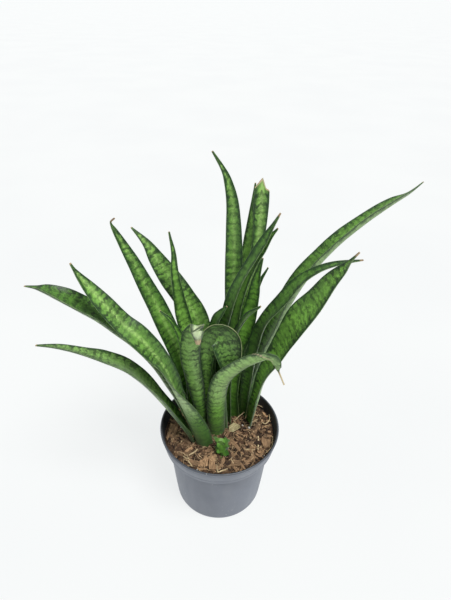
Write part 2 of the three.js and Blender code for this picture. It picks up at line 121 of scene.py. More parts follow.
# Each leaf's inner side, then its rib from foot to tip. A row is
# (x, y, z, width, turn, cup), as in the part's source.
LEAVES = {
    "leaf_left_lowest": ((0.75, 0.25, 0.6), [
        (-26, -11, 70, 9, 0, 60), (-29, -13, 88, 11, 0, 60), (-37, -16, 111, 15, 0, 62),
        (-52, -17, 141, 18, 0, 54), (-67, -18, 167, 21.5, 0, 46), (-82, -19, 185.5, 24, 0, 38),
        (-99, -20, 196, 20, 0, 38), (-115, -21, 203.5, 13.5, 0, 42), (-134, -22, 210, 9, 0, 45),
        (-153, -23, 213, 1.2, 0, 45)
    ]),
    "leaf_left_long": ((0.7, 0.25, 0.66), [
        (-29, -1, 70, 9, 0, 55), (-29, -1, 88, 10, 0, 58), (-42, -1, 128, 14, 0, 60),
        (-51.5, -1, 150.5, 17, 0, 62), (-63.5, -1, 176.5, 20, -4, 62), (-79, -2, 200.5, 22, -8, 62),
        (-94, -3, 217.5, 24, -11, 62), (-105, -4, 229.5, 24, -11, 60), (-116, -5, 238, 22, -11, 58),
        (-129, -6, 248, 20, -11, 56), (-142, -6, 255.5, 14.5, -8, 50), (-150.5, -6, 258.5, 6.5, 0, 40),
        (-158, -6, 260, 1.2, 0, 40)
    ]),
    "leaf_left_broad": ((0.5, -0.35, 0.78), [
        (-15, -18, 70, 16, 104, 75), (-17, -20, 88, 18, 100, 75), (-27, -22, 122, 20, 76, 80),
        (-38.5, -21.5, 155.5, 20.5, 44, 70), (-50.5, -20, 192, 20, 10, 46),
        (-67.5, -18, 218.5, 20.5, -10, 26), (-81.5, -15, 232.5, 18, -12, 16),
        (-94.5, -12, 248.5, 15.5, -12, 14), (-105, -9, 261.5, 11.5, -8, 14),
        (-112, -7, 270.5, 7, 0, 20), (-115.5, -6, 276.5, 3, 0, 25), (-118, -5, 281.5, 1.2, 0, 30)
    ]),
    "leaf_left_dry_tip": ((0.45, -0.75, 0.5), [
        (-21.5, 17.5, 70, 10, 0, 55), (-21.5, 18, 88, 11.5, 0, 52), (-32.5, 21, 135, 19, 0, 42),
        (-43, 24.5, 172, 19.5, 0, 30), (-52, 29, 195, 19.5, 0, 20), (-61, 34, 216, 18, 0, 16),
        (-70.5, 38, 236, 15.5, 0, 14), (-79, 42, 254, 12, 0, 14), (-88, 46, 271, 8.5, 0, 18),
        (-95, 49, 284, 4.5, 0, 25), (-97.5, 50, 289, 1.6, 0, 30), (-97.5, 50, 292, 1.2, 0, 30),
        (-94, 50, 295, 1, 0, 30)
    ]),
    "leaf_left_narrow": ((0.6, -0.6, 0.5), [
        (-30, 8.5, 70, 7, 0, 55), (-30, 8.5, 88, 7, 0, 55), (-32.5, 14, 155, 7, 0, 50),
        (-37.5, 15.5, 190, 7.5, 0, 40), (-45, 16, 211, 4.5, 0, 30), (-55.5, 18, 221.5, 1.2, 0, 30)
    ]),
    "leaf_back_left_broad": ((0.4, -0.8, 0.45), [
        (-13, 30, 70, 11, 0, 55), (-13, 30, 88, 13, 0, 50), (-16, 41, 139.5, 18, 0, 30),
        (-24, 48, 188, 23, 0, 18), (-38, 52.5, 214.5, 21.5, 0, 14), (-51, 58, 232, 21, 0, 12),
        (-62.5, 62, 249, 15.5, 0, 12), (-72, 66, 264, 8, 0, 18), (-85, 69, 278, 1.2, 0, 20)
    ]),
    "leaf_back_left_slim": ((0.3, -0.8, 0.5), [
        (-11.5, 22.5, 70, 6.5, 0, 55), (-11.5, 22.5, 88, 7, 0, 50), (-17, 27, 115, 9, 0, 45),
        (-25.5, 33, 147, 11.5, 0, 38), (-36.5, 39, 194, 14.5, 0, 30), (-41, 41.5, 219.5, 11, 0, 30),
        (-44, 43, 246, 7.5, 0, 38), (-44.5, 45, 266, 4, 0, 45), (-47.5, 47, 285, 1.2, 0, 40)
    ]),
    "leaf_centre_tallest": ((0.05, -0.9, 0.4), [
        (-1, 24, 70, 11, 0, 50), (-1, 24, 88, 12, 0, 50), (7.5, 32, 146, 13, 0, 36),
        (10, 38, 198, 15.5, 0, 25), (9.5, 43, 246, 16, 0, 16), (8.5, 47, 283, 14, 0, 12),
        (6.5, 51, 311, 10.5, 0, 14), (2.5, 54, 328, 7, 0, 18), (-2, 57, 338, 4, 0, 20),
        (-11, 60, 351, 1.2, 0, 25)
    ]),
    "leaf_broken_top": ((-0.1, -0.9, 0.4), [
        (18, 33, 70, 10, 0, 50), (18, 33, 88, 11, 0, 50), (16, 38, 127, 13.5, 0, 35),
        (21, 42, 190, 13.5, 0, 25), (26, 46, 233, 12, 0, 18), (29.5, 50, 268, 10.5, 0, 16),
        (31, 52, 291, 11.5, 0, 14), (31, 54, 309, 13, 0, 12), (31, 56, 322, 12.5, 0, 12)
    ]),
    "leaf_behind_broken": ((-0.2, -0.9, 0.4), [
        (7, 36, 70, 9, 0, 50), (7, 36, 88, 10, 0, 50), (10, 46, 119, 13, 0, 35),
        (17, 52, 182, 13, 0, 25), (22, 57, 230, 13, 0, 20), (22.5, 61, 265, 11, 0, 22),
        (24, 64, 284, 8.5, 0, 28), (24, 67, 301, 3.5, 0, 35), (26, 70, 322, 1.2, 0, 35)
    ]),
    "leaf_channelled": ((-0.5, -0.5, 0.7), [
        (1, 12, 70, 6.5, 0, 55), (1, 12, 88, 7, 0, 58), (-0.5, 13, 138, 9.5, 0, 64),
        (0.5, 15, 188, 11, 0, 62), (7, 15.5, 229, 12, 0, 56), (14, 16, 254, 10, 0, 50),
        (24, 18, 275, 9.5, 0, 45), (33.5, 20, 293.5, 8, 0, 40), (39.5, 22, 305.5, 4, 0, 40),
        (44, 23, 315, 1.2, 0, 35)
    ]),
    "leaf_leaning_right": ((-0.5, -0.6, 0.65), [
        (9, 12, 70, 8, 0, 55), (9, 12, 88, 9, 0, 58), (7.5, 13.5, 150, 10.5, 0, 56),
        (11.5, 14.5, 199, 11.5, 0, 50), (13.5, 16, 226, 10, 0, 36), (18, 17, 250, 9.5, 0, 32),
        (25.5, 19, 270.5, 8, 0, 28), (32.5, 20, 284.5, 7, 0, 30), (38, 21, 295.5, 4, 0, 35),
        (43, 22, 302.5, 1.2, 0, 35)
    ]),
    "leaf_inner_right": ((-0.35, -0.8, 0.5), [
        (16, 19, 70, 9, 0, 55), (16, 19, 88, 10, 0, 58), (13.5, 22.5, 121, 11.5, 0, 56),
        (17.5, 26, 170, 13, 0, 45), (24, 28, 204, 15.5, 0, 30), (28, 31, 231, 11.5, 0, 25),
        (30, 33, 250, 7, 0, 30), (34, 35, 268, 1.2, 0, 30)
    ]),
    "leaf_back_right_small": ((-0.4, -0.8, 0.5), [
        (28, 33, 70, 6, 0, 50), (28, 33, 88, 7, 0, 50), (26.5, 39, 126, 7, 0, 40),
        (26.5, 44, 188, 5.5, 0, 35), (32.5, 48, 229, 4, 0, 35), (41, 51, 249.5, 1.2, 0, 30)
    ]),
    "leaf_short_dark": ((-0.6, -0.1, 0.8), [
        (7.5, 4.5, 70, 7, 0, 60), (7.5, 4.5, 88, 7.5, 0, 60), (4, 2.5, 161, 9, 0, 55),
        (11, 4, 202, 10, 0, 50), (20, 2, 227, 8, 0, 50), (32, -2, 243, 1.2, 0, 45)
    ]),
    "leaf_right_longest": ((-0.55, 0.35, 0.72), [
        (34, 25, 70, 9, 0, 55), (34, 25, 88, 11, 0, 58), (39.5, 31, 139, 25.5, 16, 60),
        (56.5, 38, 201, 27, 24, 64), (75, 44.5, 241.5, 25, 17, 68), (98, 52.5, 270, 21.5, 12, 68),
        (125, 62.5, 292, 19.5, 10, 62), (151, 73.5, 307, 14.5, 6, 54), (165, 81, 313, 6, 0, 45),
        (176, 86, 321, 1.2, 0, 45)
    ]),
    "leaf_right_arched": ((-0.5, -0.3, 0.8), [
        (24.5, 20.5, 70, 7.5, 40, 55), (24.5, 20.5, 88, 7.5, 36, 60), (27, 17.5, 138, 12.5, 20, 58),
        (31.5, 14, 188, 14.5, 8, 48), (38, 12, 217, 14.5, 0, 40), (51, 10, 240.5, 14.5, 0, 32),
        (62.5, 10, 259, 13, 0, 28), (75, 8, 272, 8, 0, 32), (90, 8, 279, 5, 0, 35),
        (111, 7, 284, 1.2, 0, 35)
    ]),
    "leaf_right_broad": ((-0.55, -0.25, 0.8), [
        (32, 10.5, 70, 11, 0, 55), (32, 10.5, 88, 12, 0, 55), (37, 6, 131, 15, 0, 60),
        (41, 0, 165, 17, 4, 50), (51, -4, 196.5, 21.5, 10, 34), (61.5, -9, 232, 27, 12, 18),
        (73.5, -13, 257, 22.5, 12, 14), (82.5, -16, 277.5, 16, 8, 14), (89.5, -19, 290.5, 9.5, 4, 18),
        (93, -21, 299, 3.5, 0, 25), (97, -22, 306, 1.2, 0, 30)
    ]),
    "leaf_front_arched": ((-0.1, 1, 0.1), [
        (-3, -5, 70, 15, 0, 50), (-3, -6, 88, 17, 0, 52), (-3, -10, 140, 18, 0, 48),
        (2, -15, 170, 17, 0, 40), (15, -22, 193, 15.5, 0, 30), (29, -29, 208, 14, 8, 38),
        (39.5, -34, 214, 15, 36, 52), (45, -37, 209, 8.5, 50, 55), (47, -37, 204, 1.3, 0, 40),
        (51, -37, 194, 1, 0, 30), (53, -37, 189, 1, 0, 30)
    ]),
    "leaf_curled_tip": ((-0.1, 0.9, 0.3), [
        (-16, 1, 70, 8, 0, 50), (-16, 0, 88, 9, 0, 55), (-22, -3, 139, 14, 0, 50),
        (-27, -7, 184, 17, 0, 40), (-25, -11, 214, 17, 0, 34), (-20, -16, 231, 11.5, 0, 40),
        (-19, -25, 233, 11, 0, 40), (-18.5, -27.5, 222, 3, 0, 30)
    ]),
    "leaf_hooked": ((0, -1, 0), [
        (-11, 8, 70, 8, 0, 50), (-11, 8, 88, 9, 0, 55), (-13, 5, 153, 9, 0, 55),
        (-13, 3, 183, 13, 0, 50), (-9.5, 0, 206, 19, 0, 46), (-2.5, -1, 214, 25, 0, 48),
        (4, -3, 209, 26, 0, 50), (7, -7, 194, 22, 0, 50), (8, -9, 178, 14, 0, 46)
    ]),
    "leaf_centre_short": ((-0.5, -0.6, 0.6), [
        (-7, 14, 70, 6, 0, 50), (-7, 14, 88, 7, 0, 50), (-8.5, 13, 179, 12, 0, 40),
        (-5.5, 12, 214, 10.5, 0, 35), (-1, 11.5, 225, 7.5, 0, 30), (4, 11, 233, 1.2, 0, 30)
    ]),
    "leaf_torn_stub": ((0.1, 0.9, 0.3), [
        (3, -30.5, 70, 9, 0, 60), (3, -30.5, 84, 10.5, 0, 65), (2.5, -30, 96, 12, 0, 70),
        (2, -29, 105.5, 11, 0, 70)
    ]),
}
SCRAP = ((0, 0, 1), [
    (9.5, -2.5, 87, 1.4, 0, 14), (11.8, -1, 87.8, 7.2, 0, 24), (12.5, -0.5, 88, 8.6, 0, 30),
    (16.5, 2.5, 88.5, 9.6, 0, 40), (17.2, 3.1, 88.4, 9, 0, 40), (20, 5.5, 87.5, 1.4, 0, 20)
])
# How far a torn tip stands out or back at even steps across the blade.
TORN = {"leaf_broken_top": [1, 5, 9, 0.5, -1], "leaf_torn_stub": [-3, 1, 3, 0.5, -2]}

# How each leaf looks. tone is how bright its green is, and tip how much brighter it is
# towards its tip; on the hooked leaf tip is painted shade, for the shade inside its hood.
# side is painted light: how much brighter the right half of its inner face is, for light
# falling on one side of the cupped blade. bands is how strong its dark cross bands are,
# bloom_and_sheen how pale and grey its inner and its outer face are, partly the leaf's waxy
# bloom and partly painted sheen, and rib how light the strip along its middle is. dry is how
# many millimetres of its tip are dried, tan how tan its margin is, over how many millimetres
# from the tip and on which side, pleat how deep its cross wrinkles are, knobs how high its
# lumps are, and pale_tip how far the whitish part of its tip reaches, the last three in
# millimetres. fold is between which distances from the tip a tan crease runs in from one
# margin, with painted shade between the crease and that margin, for the margin folded over;
# the blade is not folded.
LOOKS = {
    "leaf_left_lowest": dict(tone=0.36, side=0.1, bands=1.0, bloom_and_sheen=(0.28, 0.62), dry=1.5),
    "leaf_left_long": dict(tone=0.56, tip=-0.3, side=0.1, bands=1.1, bloom_and_sheen=(0.03, 0.62), dry=1.5),
    "leaf_left_broad": dict(
        tone=0.32, tip=0.22, side=-0.16, bands=0.9, bloom_and_sheen=(0.1, 0.85), rib=0.75, dry=1.5
    ),
    "leaf_left_dry_tip": dict(tone=0.4, side=-0.14, bands=0.85, bloom_and_sheen=(0.04, 0.4), rib=0.5, dry=7),
    "leaf_left_narrow": dict(tone=0.62, side=-0.2, bands=0.6, bloom_and_sheen=(0.05, 0.3), dry=0.5),
    "leaf_back_left_broad": dict(tone=0.56, side=-0.1, bands=1.0, bloom_and_sheen=(0.12, 0.4), rib=0.5, dry=1),
    "leaf_back_left_slim": dict(tone=0.72, side=-0.1, bands=0.85, bloom_and_sheen=(0.1, 0.4), dry=0.4),
    "leaf_centre_tallest": dict(tone=0.42, side=-0.18, bands=0.8, bloom_and_sheen=(0.06, 0.4), rib=0.5, dry=1),
    "leaf_broken_top": dict(tone=0.76, side=-0.2, bands=0.9, bloom_and_sheen=(0.16, 0.4), rib=0.9, dry=0.4),
    "leaf_behind_broken": dict(tone=0.8, bands=0.65, bloom_and_sheen=(0.2, 0.4), dry=1),
    # Its dark green is partly its own and partly painted shade, for the shaded inside of its channel.
    "leaf_channelled": dict(tone=0.24, side=0.1, bands=0.7, bloom_and_sheen=(0.04, 0.3), dry=4),
    "leaf_leaning_right": dict(tone=0.52, side=0.1, bands=0.6, bloom_and_sheen=(0.08, 0.4), dry=1),
    "leaf_inner_right": dict(tone=0.66, bands=0.7, bloom_and_sheen=(0.0, 0.3), dry=0.5),
    "leaf_back_right_small": dict(tone=0.3, bands=0.5, bloom_and_sheen=(0.12, 0.4), dry=0.5),
    "leaf_short_dark": dict(tone=0.12, side=0.1, bands=0.6, bloom_and_sheen=(0.08, 0.3), dry=0.5),
    "leaf_right_longest": dict(
        tone=0.42, tip=0.12, side=-0.08, bands=0.7, bloom_and_sheen=(0.06, 0.5), rib=0.3, dry=1.5
    ),
    "leaf_right_arched": dict(tone=0.24, bands=0.9, bloom_and_sheen=(0.05, 0.5), dry=4),
    "leaf_right_broad": dict(tone=0.98, tip=-0.26, side=0.08, bands=0.9, bloom_and_sheen=(0.05, 0.5), dry=6),
    "leaf_front_arched": dict(
        tone=0.88, side=0.3, bands=1.0, bloom_and_sheen=(0.1, 0.55), dry=19, tan=(1.0, 24, 0), pleat=0.1,
        fold=(43, 18)
    ),
    "leaf_curled_tip": dict(
        tone=0.82, side=0.42, bands=1.3, bloom_and_sheen=(0.2, 0.3), dry=6, tan=(0.3, 30, 0), pleat=0.12,
        pale_tip=24
    ),
    # The hooked leaf's darker tip is painted shade, for the shade inside its hood.
    "leaf_hooked": dict(
        tone=0.88, tip=-0.6, bands=1.2, bloom_and_sheen=(0.16, 0.2), dry=0.5, tan=(0.35, 88, -1), pleat=0.1
    ),
    "leaf_centre_short": dict(tone=0.12, bands=0.6, bloom_and_sheen=(0.06, 0.3), dry=0.5),
    "leaf_torn_stub": dict(tone=1.0, bands=0.5, bloom_and_sheen=(0.0, 0.0), dry=0.3, knobs=4.2),
}

# ---- helpers for modelling ----

def at(x, y, z):
    return Vector((x * MM, y * MM, z * MM))


def clamp(value, low=0.0, high=1.0):
    return min(max(value, low), high)


def let_go():
    bpy.ops.object.select_all(action="DESELECT")


def pick(piece):
    let_go()
    piece.select_set(True)
    bpy.context.view_layer.objects.active = piece


def start_edit(action="SELECT"):
    bpy.ops.object.mode_set(mode="EDIT")
    bpy.ops.mesh.select_all(action=action)


def end_edit(mend=True):
    if mend:
        bpy.ops.mesh.select_all(action="SELECT")
        bpy.ops.mesh.normals_make_consistent(inside=False)
    bpy.ops.object.mode_set(mode="OBJECT")


def extrude(x, y, z):
    """Extrudes what is selected by a step in millimetres."""
    bpy.ops.mesh.extrude_region_move(TRANSFORM_OT_translate={"value": at(x, y, z)})


def new_piece(name):
    piece = bpy.context.active_object
    piece.name = name
    piece.data.name = name
    return piece


def into_scene(name, data):
    made = bpy.data.objects.new(name, data)
    bpy.context.scene.collection.objects.link(made)
    return made


def settle(piece):
    pick(piece)
    bpy.ops.object.transform_apply(location=True, rotation=True, scale=True)


def finish_modifier(piece, modifier):
    pick(piece)
    bpy.ops.object.modifier_apply(modifier=modifier.name)


def smooth(piece, angle):
    pick(piece)
    bpy.ops.object.shade_smooth_by_angle(angle=math.radians(angle))


def dress(piece, materials, slot, *nodes):
    piece.data.materials.clear()
    for material in materials:
        piece.data.materials.append(material)
    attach(piece, "root")
    if nodes:
        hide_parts(*nodes)


def share(mesh, name, values):
    """Gives each point of a mesh one measure, or three of them."""
    single = len(values) == len(mesh.vertices)
    field = mesh.attributes.new(name, "FLOAT" if single else "FLOAT_VECTOR", "POINT")
    field.data.foreach_set("value" if single else "vector", values)


def lay_sheet(mesh, name, places):
    """Gives a mesh one UV map, from a place for each point."""
    while mesh.uv_layers:
        mesh.uv_layers.remove(mesh.uv_layers[0])
    layer = mesh.uv_layers.new(name=name)
    for loop in mesh.loops:
        layer.data[loop.index].uv = places[loop.vertex_index]


# ---- helpers for materials ----

class Signal:
    """What a node puts out, with plain arithmetic on it."""

    def __init__(self, nodes, socket):
        self.nodes = nodes
        self.socket = socket

    def __add__(self, other):
        return self.nodes.math("ADD", self, other)

    def __sub__(self, other):
        return self.nodes.math("SUBTRACT", self, other)

    def __mul__(self, other):
        return self.nodes.math("MULTIPLY", self, other)

    def __truediv__(self, other):
        return self.nodes.math("DIVIDE", self, other)


class Nodes:
    """One node tree, with short calls for the nodes that its patterns use."""

    def __init__(self, tree):
        self.tree = tree

    def feed(self, sockets, values):
        """Links or sets sockets, by their names or in their order."""
        pairs = values.items() if isinstance(values, dict) else enumerate(values)
        for key, value in pairs:
            if isinstance(value, Signal):
                self.tree.links.new(value.socket, sockets[key])
            else:
                sockets[key].default_value = value

    def node(self, kind, values=(), **settings):
        """Adds a node, feeds it and gives all that it puts out."""
        node = self.tree.nodes.new(kind)
        for key, value in settings.items():
            setattr(node, key, value)
        self.feed(node.inputs, values)
        return [Signal(self, socket) for socket in node.outputs]

    def math(self, operation, a, b=0.0, limit=False):
        return self.node("ShaderNodeMath", (a, b), operation=operation, use_clamp=limit)[0]

    def ramp(self, value, low, high, bottom=0.0, top=1.0):
        """Changes smoothly from bottom to top while the value goes from low to high."""
        values = (value, low, high, bottom, top)
        return self.node("ShaderNodeMapRange", values, interpolation_type="SMOOTHSTEP")[0]

    def spot(self, x, y, z):
        return self.node("ShaderNodeCombineXYZ", (x, y, z))[0]

    def parts(self, vector):
        return self.node("ShaderNodeSeparateXYZ", (vector,))

    def place(self):
        return self.node("ShaderNodeTexCoord")[3]

    def sheet(self, name):
        """Places across and along the piece's own sheet."""
        return self.parts(self.node("ShaderNodeUVMap", uv_map=name)[0])[:2]

    def field(self, name):
        """The three measures that each point of a piece carries."""
        return self.parts(self.node("ShaderNodeAttribute", attribute_name=name)[1])

    def cloud(self, where, scale=1.0, detail=2.0, rough=0.5):
        values = {"Vector": where, "Scale": scale, "Detail": detail, "Roughness": rough}
        return self.node("ShaderNodeTexNoise", values, noise_dimensions="3D")[0]

    def cells(self, where, scale):
        """The distance from the middle of a cell, and the cell's own tone."""
        values = {"Vector": where, "Scale": scale}
        return self.node("ShaderNodeTexVoronoi", values, feature="F1")[:2]

    def mix(self, share_of_second, first, second, blend="MIX"):
        values = {0: share_of_second, 6: first, 7: second}
        return self.node("ShaderNodeMix", values, data_type="RGBA", blend_type=blend)[2]

    def cover(self, base, *layers):
        """Lays colours over a base, one after the other, each by its own share."""
        for share_of_layer, hue in layers:
            base = self.mix(share_of_layer, base, hue)
        return base

    def deepen(self, hue, gamma, gain, saturation):
        """More contrast: darker darks by the gamma and brighter lights by the gain."""
        deeper = self.node("ShaderNodeGamma", (hue, gamma))[0]
        values = {"Color": deeper, "Value": gain, "Saturation": saturation}
        return self.node("ShaderNodeHueSaturation", values)[0]

    def use(self, group, **values):
        """Adds a node group and gives what it puts out, by name."""
        node = self.tree.nodes.new("ShaderNodeGroup")
        node.node_tree = group
        self.feed(node.inputs, {label.replace("_", " "): value for label, value in values.items()})
        return {socket.name: Signal(self, socket) for socket in node.outputs}


def colour(red, green, blue):
    return (red, green, blue, 1.0)


def pattern(name, inputs, outputs):
    """An empty shader node group, its inputs by name and its output's sockets."""
    tree = bpy.data.node_groups.new(name, "ShaderNodeTree")
    for side, sockets in (("INPUT", inputs), ("OUTPUT", outputs)):
        for label, kind in sockets.items():
            tree.interface.new_socket(label, in_out=side, socket_type="NodeSocket" + kind)
    nodes = Nodes(tree)
    source = tree.nodes.new("NodeGroupInput").outputs
    sink = tree.nodes.new("NodeGroupOutput").inputs
    return nodes, {socket.name: Signal(nodes, socket) for socket in source}, sink


def finish_of(name):
    """A new material: its nodes and the sockets of the shader that they feed."""
    material = bpy.data.materials.new(name)
    material.use_nodes = True
    nodes = Nodes(material.node_tree)
    return material, nodes, material.node_tree.nodes["Principled BSDF"].inputs


def coat(nodes, shader, hue, roughness, height, distance, strength):
    """Feeds a shader its colour, its roughness and its relief."""
    values = {"Height": height, "Distance": distance, "Strength": strength}
    normal = nodes.node("ShaderNodeBump", values)[0]
    nodes.feed(shader, {"Base Color": hue, "Roughness": roughness, "Normal": normal})


# ---- leaf finishes ----

LIGHT_GREEN = colour(0.245, 0.54, 0.05)
DEEP_GREEN = colour(0.036, 0.125, 0.008)
BAND_GREEN = colour(0.004, 0.024, 0.004)
RIB_GREEN = colour(0.36, 0.56, 0.16)
FIBRE_GREEN = colour(0.27, 0.46, 0.1)
MARGIN_GREEN = colour(0.01, 0.045, 0.014)
# A pale grey-green: partly the leaf's waxy bloom and partly painted sheen.
BLOOM_AND_SHEEN_GREEN = colour(0.4, 0.52, 0.27)
PALE_TIP = colour(0.52, 0.58, 0.4)
EDGE_GREEN = colour(0.17, 0.27, 0.09)
EDGE_TAN = colour(0.6, 0.5, 0.31)
DRY_TAN = colour(0.46, 0.34, 0.2)
DRY_BROWN = colour(0.13, 0.072, 0.04)


def leaf_pattern():
    """Cross bands, mottling, fibres, dark margins and dry tips of a leaf face."""
    nodes, given, result = pattern(
        "leaf pattern",
        {"Bloom": "Float", "Band Share": "Float"},
        {"Color": "Color", "Height": "Float", "Dry": "Float"},
    )
    across, along = nodes.sheet("blade")
    tone, bands, rib = nodes.field("look")
    seed, dry_length, tan = nodes.field("growth")
    margin, from_tip, from_foot = nodes.field("reach")
    pale = nodes.field("bloom_and_sheen")[2]
    crease = nodes.node("ShaderNodeAttribute", attribute_name="crease")[2]

    def mottle(fine_across, fine_along, shift=0.0, detail=2.0, rough=0.5, run=along):
        """Soft noise, finer across or along the blade, and another on every leaf."""
        where = nodes.spot(across * fine_across, run * fine_along, seed + shift)
        return nodes.cloud(where, 1.0, detail, rough)

    jag = mottle(4.6, 0.8, detail=1.0) - 0.5
    jagged = along + jag * 0.55
    wave = nodes.math("SINE", (jagged * 1.45 + mottle(0.25, 0.5, 7.0, 1.0) * 2.4) * TURN)
    band = nodes.ramp(wave, 0.15, 0.7)
    speckle = mottle(3.7, 3.6, 3.0, 0.6, run=jagged)
    lines = mottle(1.7, 6.0, 17.0, 1.0, run=along + jag * 0.35)
    dashes = nodes.ramp(lines, 0.51, 0.57) * 0.85
    spots = nodes.math("MAXIMUM", nodes.ramp(speckle, 0.53, 0.57), dashes)
    spots = spots * nodes.ramp(band, 0.0, 1.0, 0.55, 1.0)
    banded = band * nodes.ramp(speckle, 0.4, 0.52, 0.4, 0.95)

    off_rib = nodes.math("ABSOLUTE", across)
    # flank grows from the rib towards the margins: it makes the bands stronger there, and below it
    # paints shade on the sides of the cupped blade.
    flank = nodes.ramp(off_rib / ((off_rib * 10.0 + margin) * 0.1), 0.2, 0.85)
    patches = nodes.ramp(mottle(0.6, 0.4, 11.0), 0.38, 0.6, 0.8, 1.3)
    strength = bands * given["Band Share"] * patches
    dark = nodes.math("MAXIMUM", banded, spots) * (flank * 0.3 + 0.7)
    dark = nodes.math("MULTIPLY", dark, strength, True)

    thin = mottle(34, 1.1, rough=0.6)
    drift = mottle(0.9, 0.35)
    middle = nodes.ramp(off_rib + jag * 0.2, 0.03, 0.3, 1.0, 0.0) * nodes.ramp(from_foot, 10.0, 75.0)
    # Paler grey-green higher up the blade: partly the leaf's waxy bloom and partly painted sheen.
    haze = given["Bloom"] * nodes.ramp(from_foot, 34.0, 72.0)
    haze = haze * nodes.ramp(mottle(6, 0.8, 5.0), 0.2, 0.7, 0.72, 1.0)
    haze = haze * nodes.ramp(dark, 0.0, 1.0, 1.0, 0.4)
    curl = nodes.ramp(from_tip, pale * 0.6, pale, 1.0, 0.0) * 0.9
    wander = mottle(2, 2.2)
    rim = nodes.ramp(wander, 0.3, 0.7, 1.5, 5.2)
    hair = nodes.ramp(margin, 0.1, tan * 0.4 + 0.22, 1.0, 0.0)
    worn = nodes.math("MAXIMUM", tan, nodes.ramp(wander, 0.4, 0.6, 0.1, 0.7))
    green = nodes.cover(
        nodes.mix(tone, DEEP_GREEN, LIGHT_GREEN),
        (nodes.ramp(drift, 0.35, 0.7, 0.0, 0.4), DEEP_GREEN),
        # Painted shade: the green darkens towards both margins, for the shade on the sides of the
        # cupped blade.
        (flank * 0.4, DEEP_GREEN),
        (middle * rib * 0.75, RIB_GREEN),
        (dark * 0.9, BAND_GREEN),
        (nodes.ramp(thin, 0.4, 0.75, 0.0, 0.16), FIBRE_GREEN),
        (haze, BLOOM_AND_SHEEN_GREEN),
        (curl * nodes.ramp(thin, 0.3, 0.7, 1.0, 0.6), PALE_TIP),
        (nodes.ramp(margin, rim * 0.15, rim, 1.0, 0.0) * 0.8, MARGIN_GREEN),
        # Painted shade: the green darkens towards the foot, for the shade low down between the leaves.
        (nodes.ramp(from_foot, 2.0, 56.0, 0.62, 0.0), DEEP_GREEN),
        (hair * worn, nodes.mix(tan, EDGE_GREEN, EDGE_TAN)),
    )
    green = nodes.deepen(green, 1.18, 1.32, 0.93)

    ragged = from_tip + (thin - 0.5) * (dry_length * 0.9)
    dryness = nodes.ramp(ragged, dry_length * 0.45, dry_length * 0.95, 1.0, 0.0)
    crisp = nodes.mix(nodes.ramp(thin, 0.4, 0.7), DRY_TAN, DRY_BROWN)
    crisp = nodes.mix(nodes.ramp(dryness, 0.1, 0.8), DRY_BROWN, nodes.mix(tan, crisp, EDGE_TAN))
    green = nodes.cover(green, (nodes.ramp(crease, 0.3, 0.8), EDGE_TAN), (dryness, crisp))
    nodes.feed(result, {"Color": green, "Height": thin * 0.7 + speckle * 0.5, "Dry": dryness})
    return nodes.tree


def leaf_face(name, group, roughness, band_share, bloom_and_sheen_part, sheen):
    material, nodes, shader = finish_of(name)
    made = nodes.use(group, Bloom=nodes.field("bloom_and_sheen")[bloom_and_sheen_part], Band_Share=band_share)
    rough = nodes.ramp(made["Dry"], 0.0, 1.0, roughness, 0.85)
    coat(nodes, shader, made["Color"], rough, made["Height"], 0.0002, 0.5)
    nodes.feed(shader, {"Specular IOR Level": 0.36, "Sheen Weight": sheen, "Sheen Roughness": 0.4})
    return material


def leaf_margin(group):
    material, nodes, shader = finish_of("leaf margin")
    made = nodes.use(group, Bloom=0.3, Band_Share=0.0)
    tan = nodes.field("growth")[2]
    edge = nodes.mix(0.55, made["Color"], nodes.mix(tan, EDGE_GREEN, EDGE_TAN))
    coat(nodes, shader, nodes.mix(made["Dry"], edge, DRY_TAN), 0.6, made["Height"], 0.0002, 0.4)
    return material


def torn_flesh():
    """The dried, split flesh along a torn edge."""
    material, nodes, shader = finish_of("torn flesh")
    fibre = nodes.cloud(nodes.place(), 900, 3.0, 0.7)
    tan = nodes.mix(nodes.ramp(fibre, 0.35, 0.65), colour(0.55, 0.36, 0.16), colour(0.26, 0.12, 0.04))
    coat(nodes, shader, tan, 0.85, fibre, 0.0003, 0.8)
    return material


# ---- leaves ----

def row_at(rows, t):
    """A smooth curve through every row of a table."""
    last = len(rows) - 1
    i = min(max(int(math.floor(t)), 0), last - 1)
    k = t - i
    b = rows[i]
    c = rows[i + 1]
    a = rows[i - 1] if i > 0 else [2 * v - w for v, w in zip(b, c)]
    d = rows[i + 2] if i + 2 <= last else [2 * v - w for v, w in zip(c, b)]
    made = []
    for p, q, r, s in zip(a, b, c, d):
        slope = (r - p) * k
        bend = (2 * p - 5 * q + 4 * r - s) * k * k
        twist = (3 * q - p - 3 * r + s) * k * k * k
        made.append(q + 0.5 * (slope + bend + twist))
    return made


def heading_at(rows, t):
    before = Vector(row_at(rows, max(t - 0.05, 0))[:3])
    after = Vector(row_at(rows, min(t + 0.05, len(rows) - 1))[:3])
    return (after - before).normalized()


def frame_at(inner, rows, t):
    """Directions along the rib, out of the inner face and across the blade."""
    along = heading_at(rows, t)
    out = Vector(inner)
    out -= along * out.dot(along)
    out.normalize()
    out = Matrix.Rotation(math.radians(row_at(rows, t)[4]), 3, along) @ out
    return along, out, along.cross(out)


def fine_stops(rows):
    stops = []
    for i in range(len(rows) - 1):
        length = (Vector(rows[i + 1][:3]) - Vector(rows[i][:3])).length
        steps = max(3, math.ceil(length / STEP))
        stops += [i + k / steps for k in range(steps)]
    return stops + [len(rows) - 1]


def columns(half):
    """Places across the blade from -1 to 1, close together at the margins."""
    squeeze = min(1.0, half / 4)
    outer = [1 - step * squeeze / half for step in MARGIN_STEPS]
    inside = [outer[-1] * (1 - 2 * (i + 1) / (MIDDLE_COLUMNS + 1)) for i in range(MIDDLE_COLUMNS)]
    return [-u for u in outer] + sorted(inside) + outer[::-1]


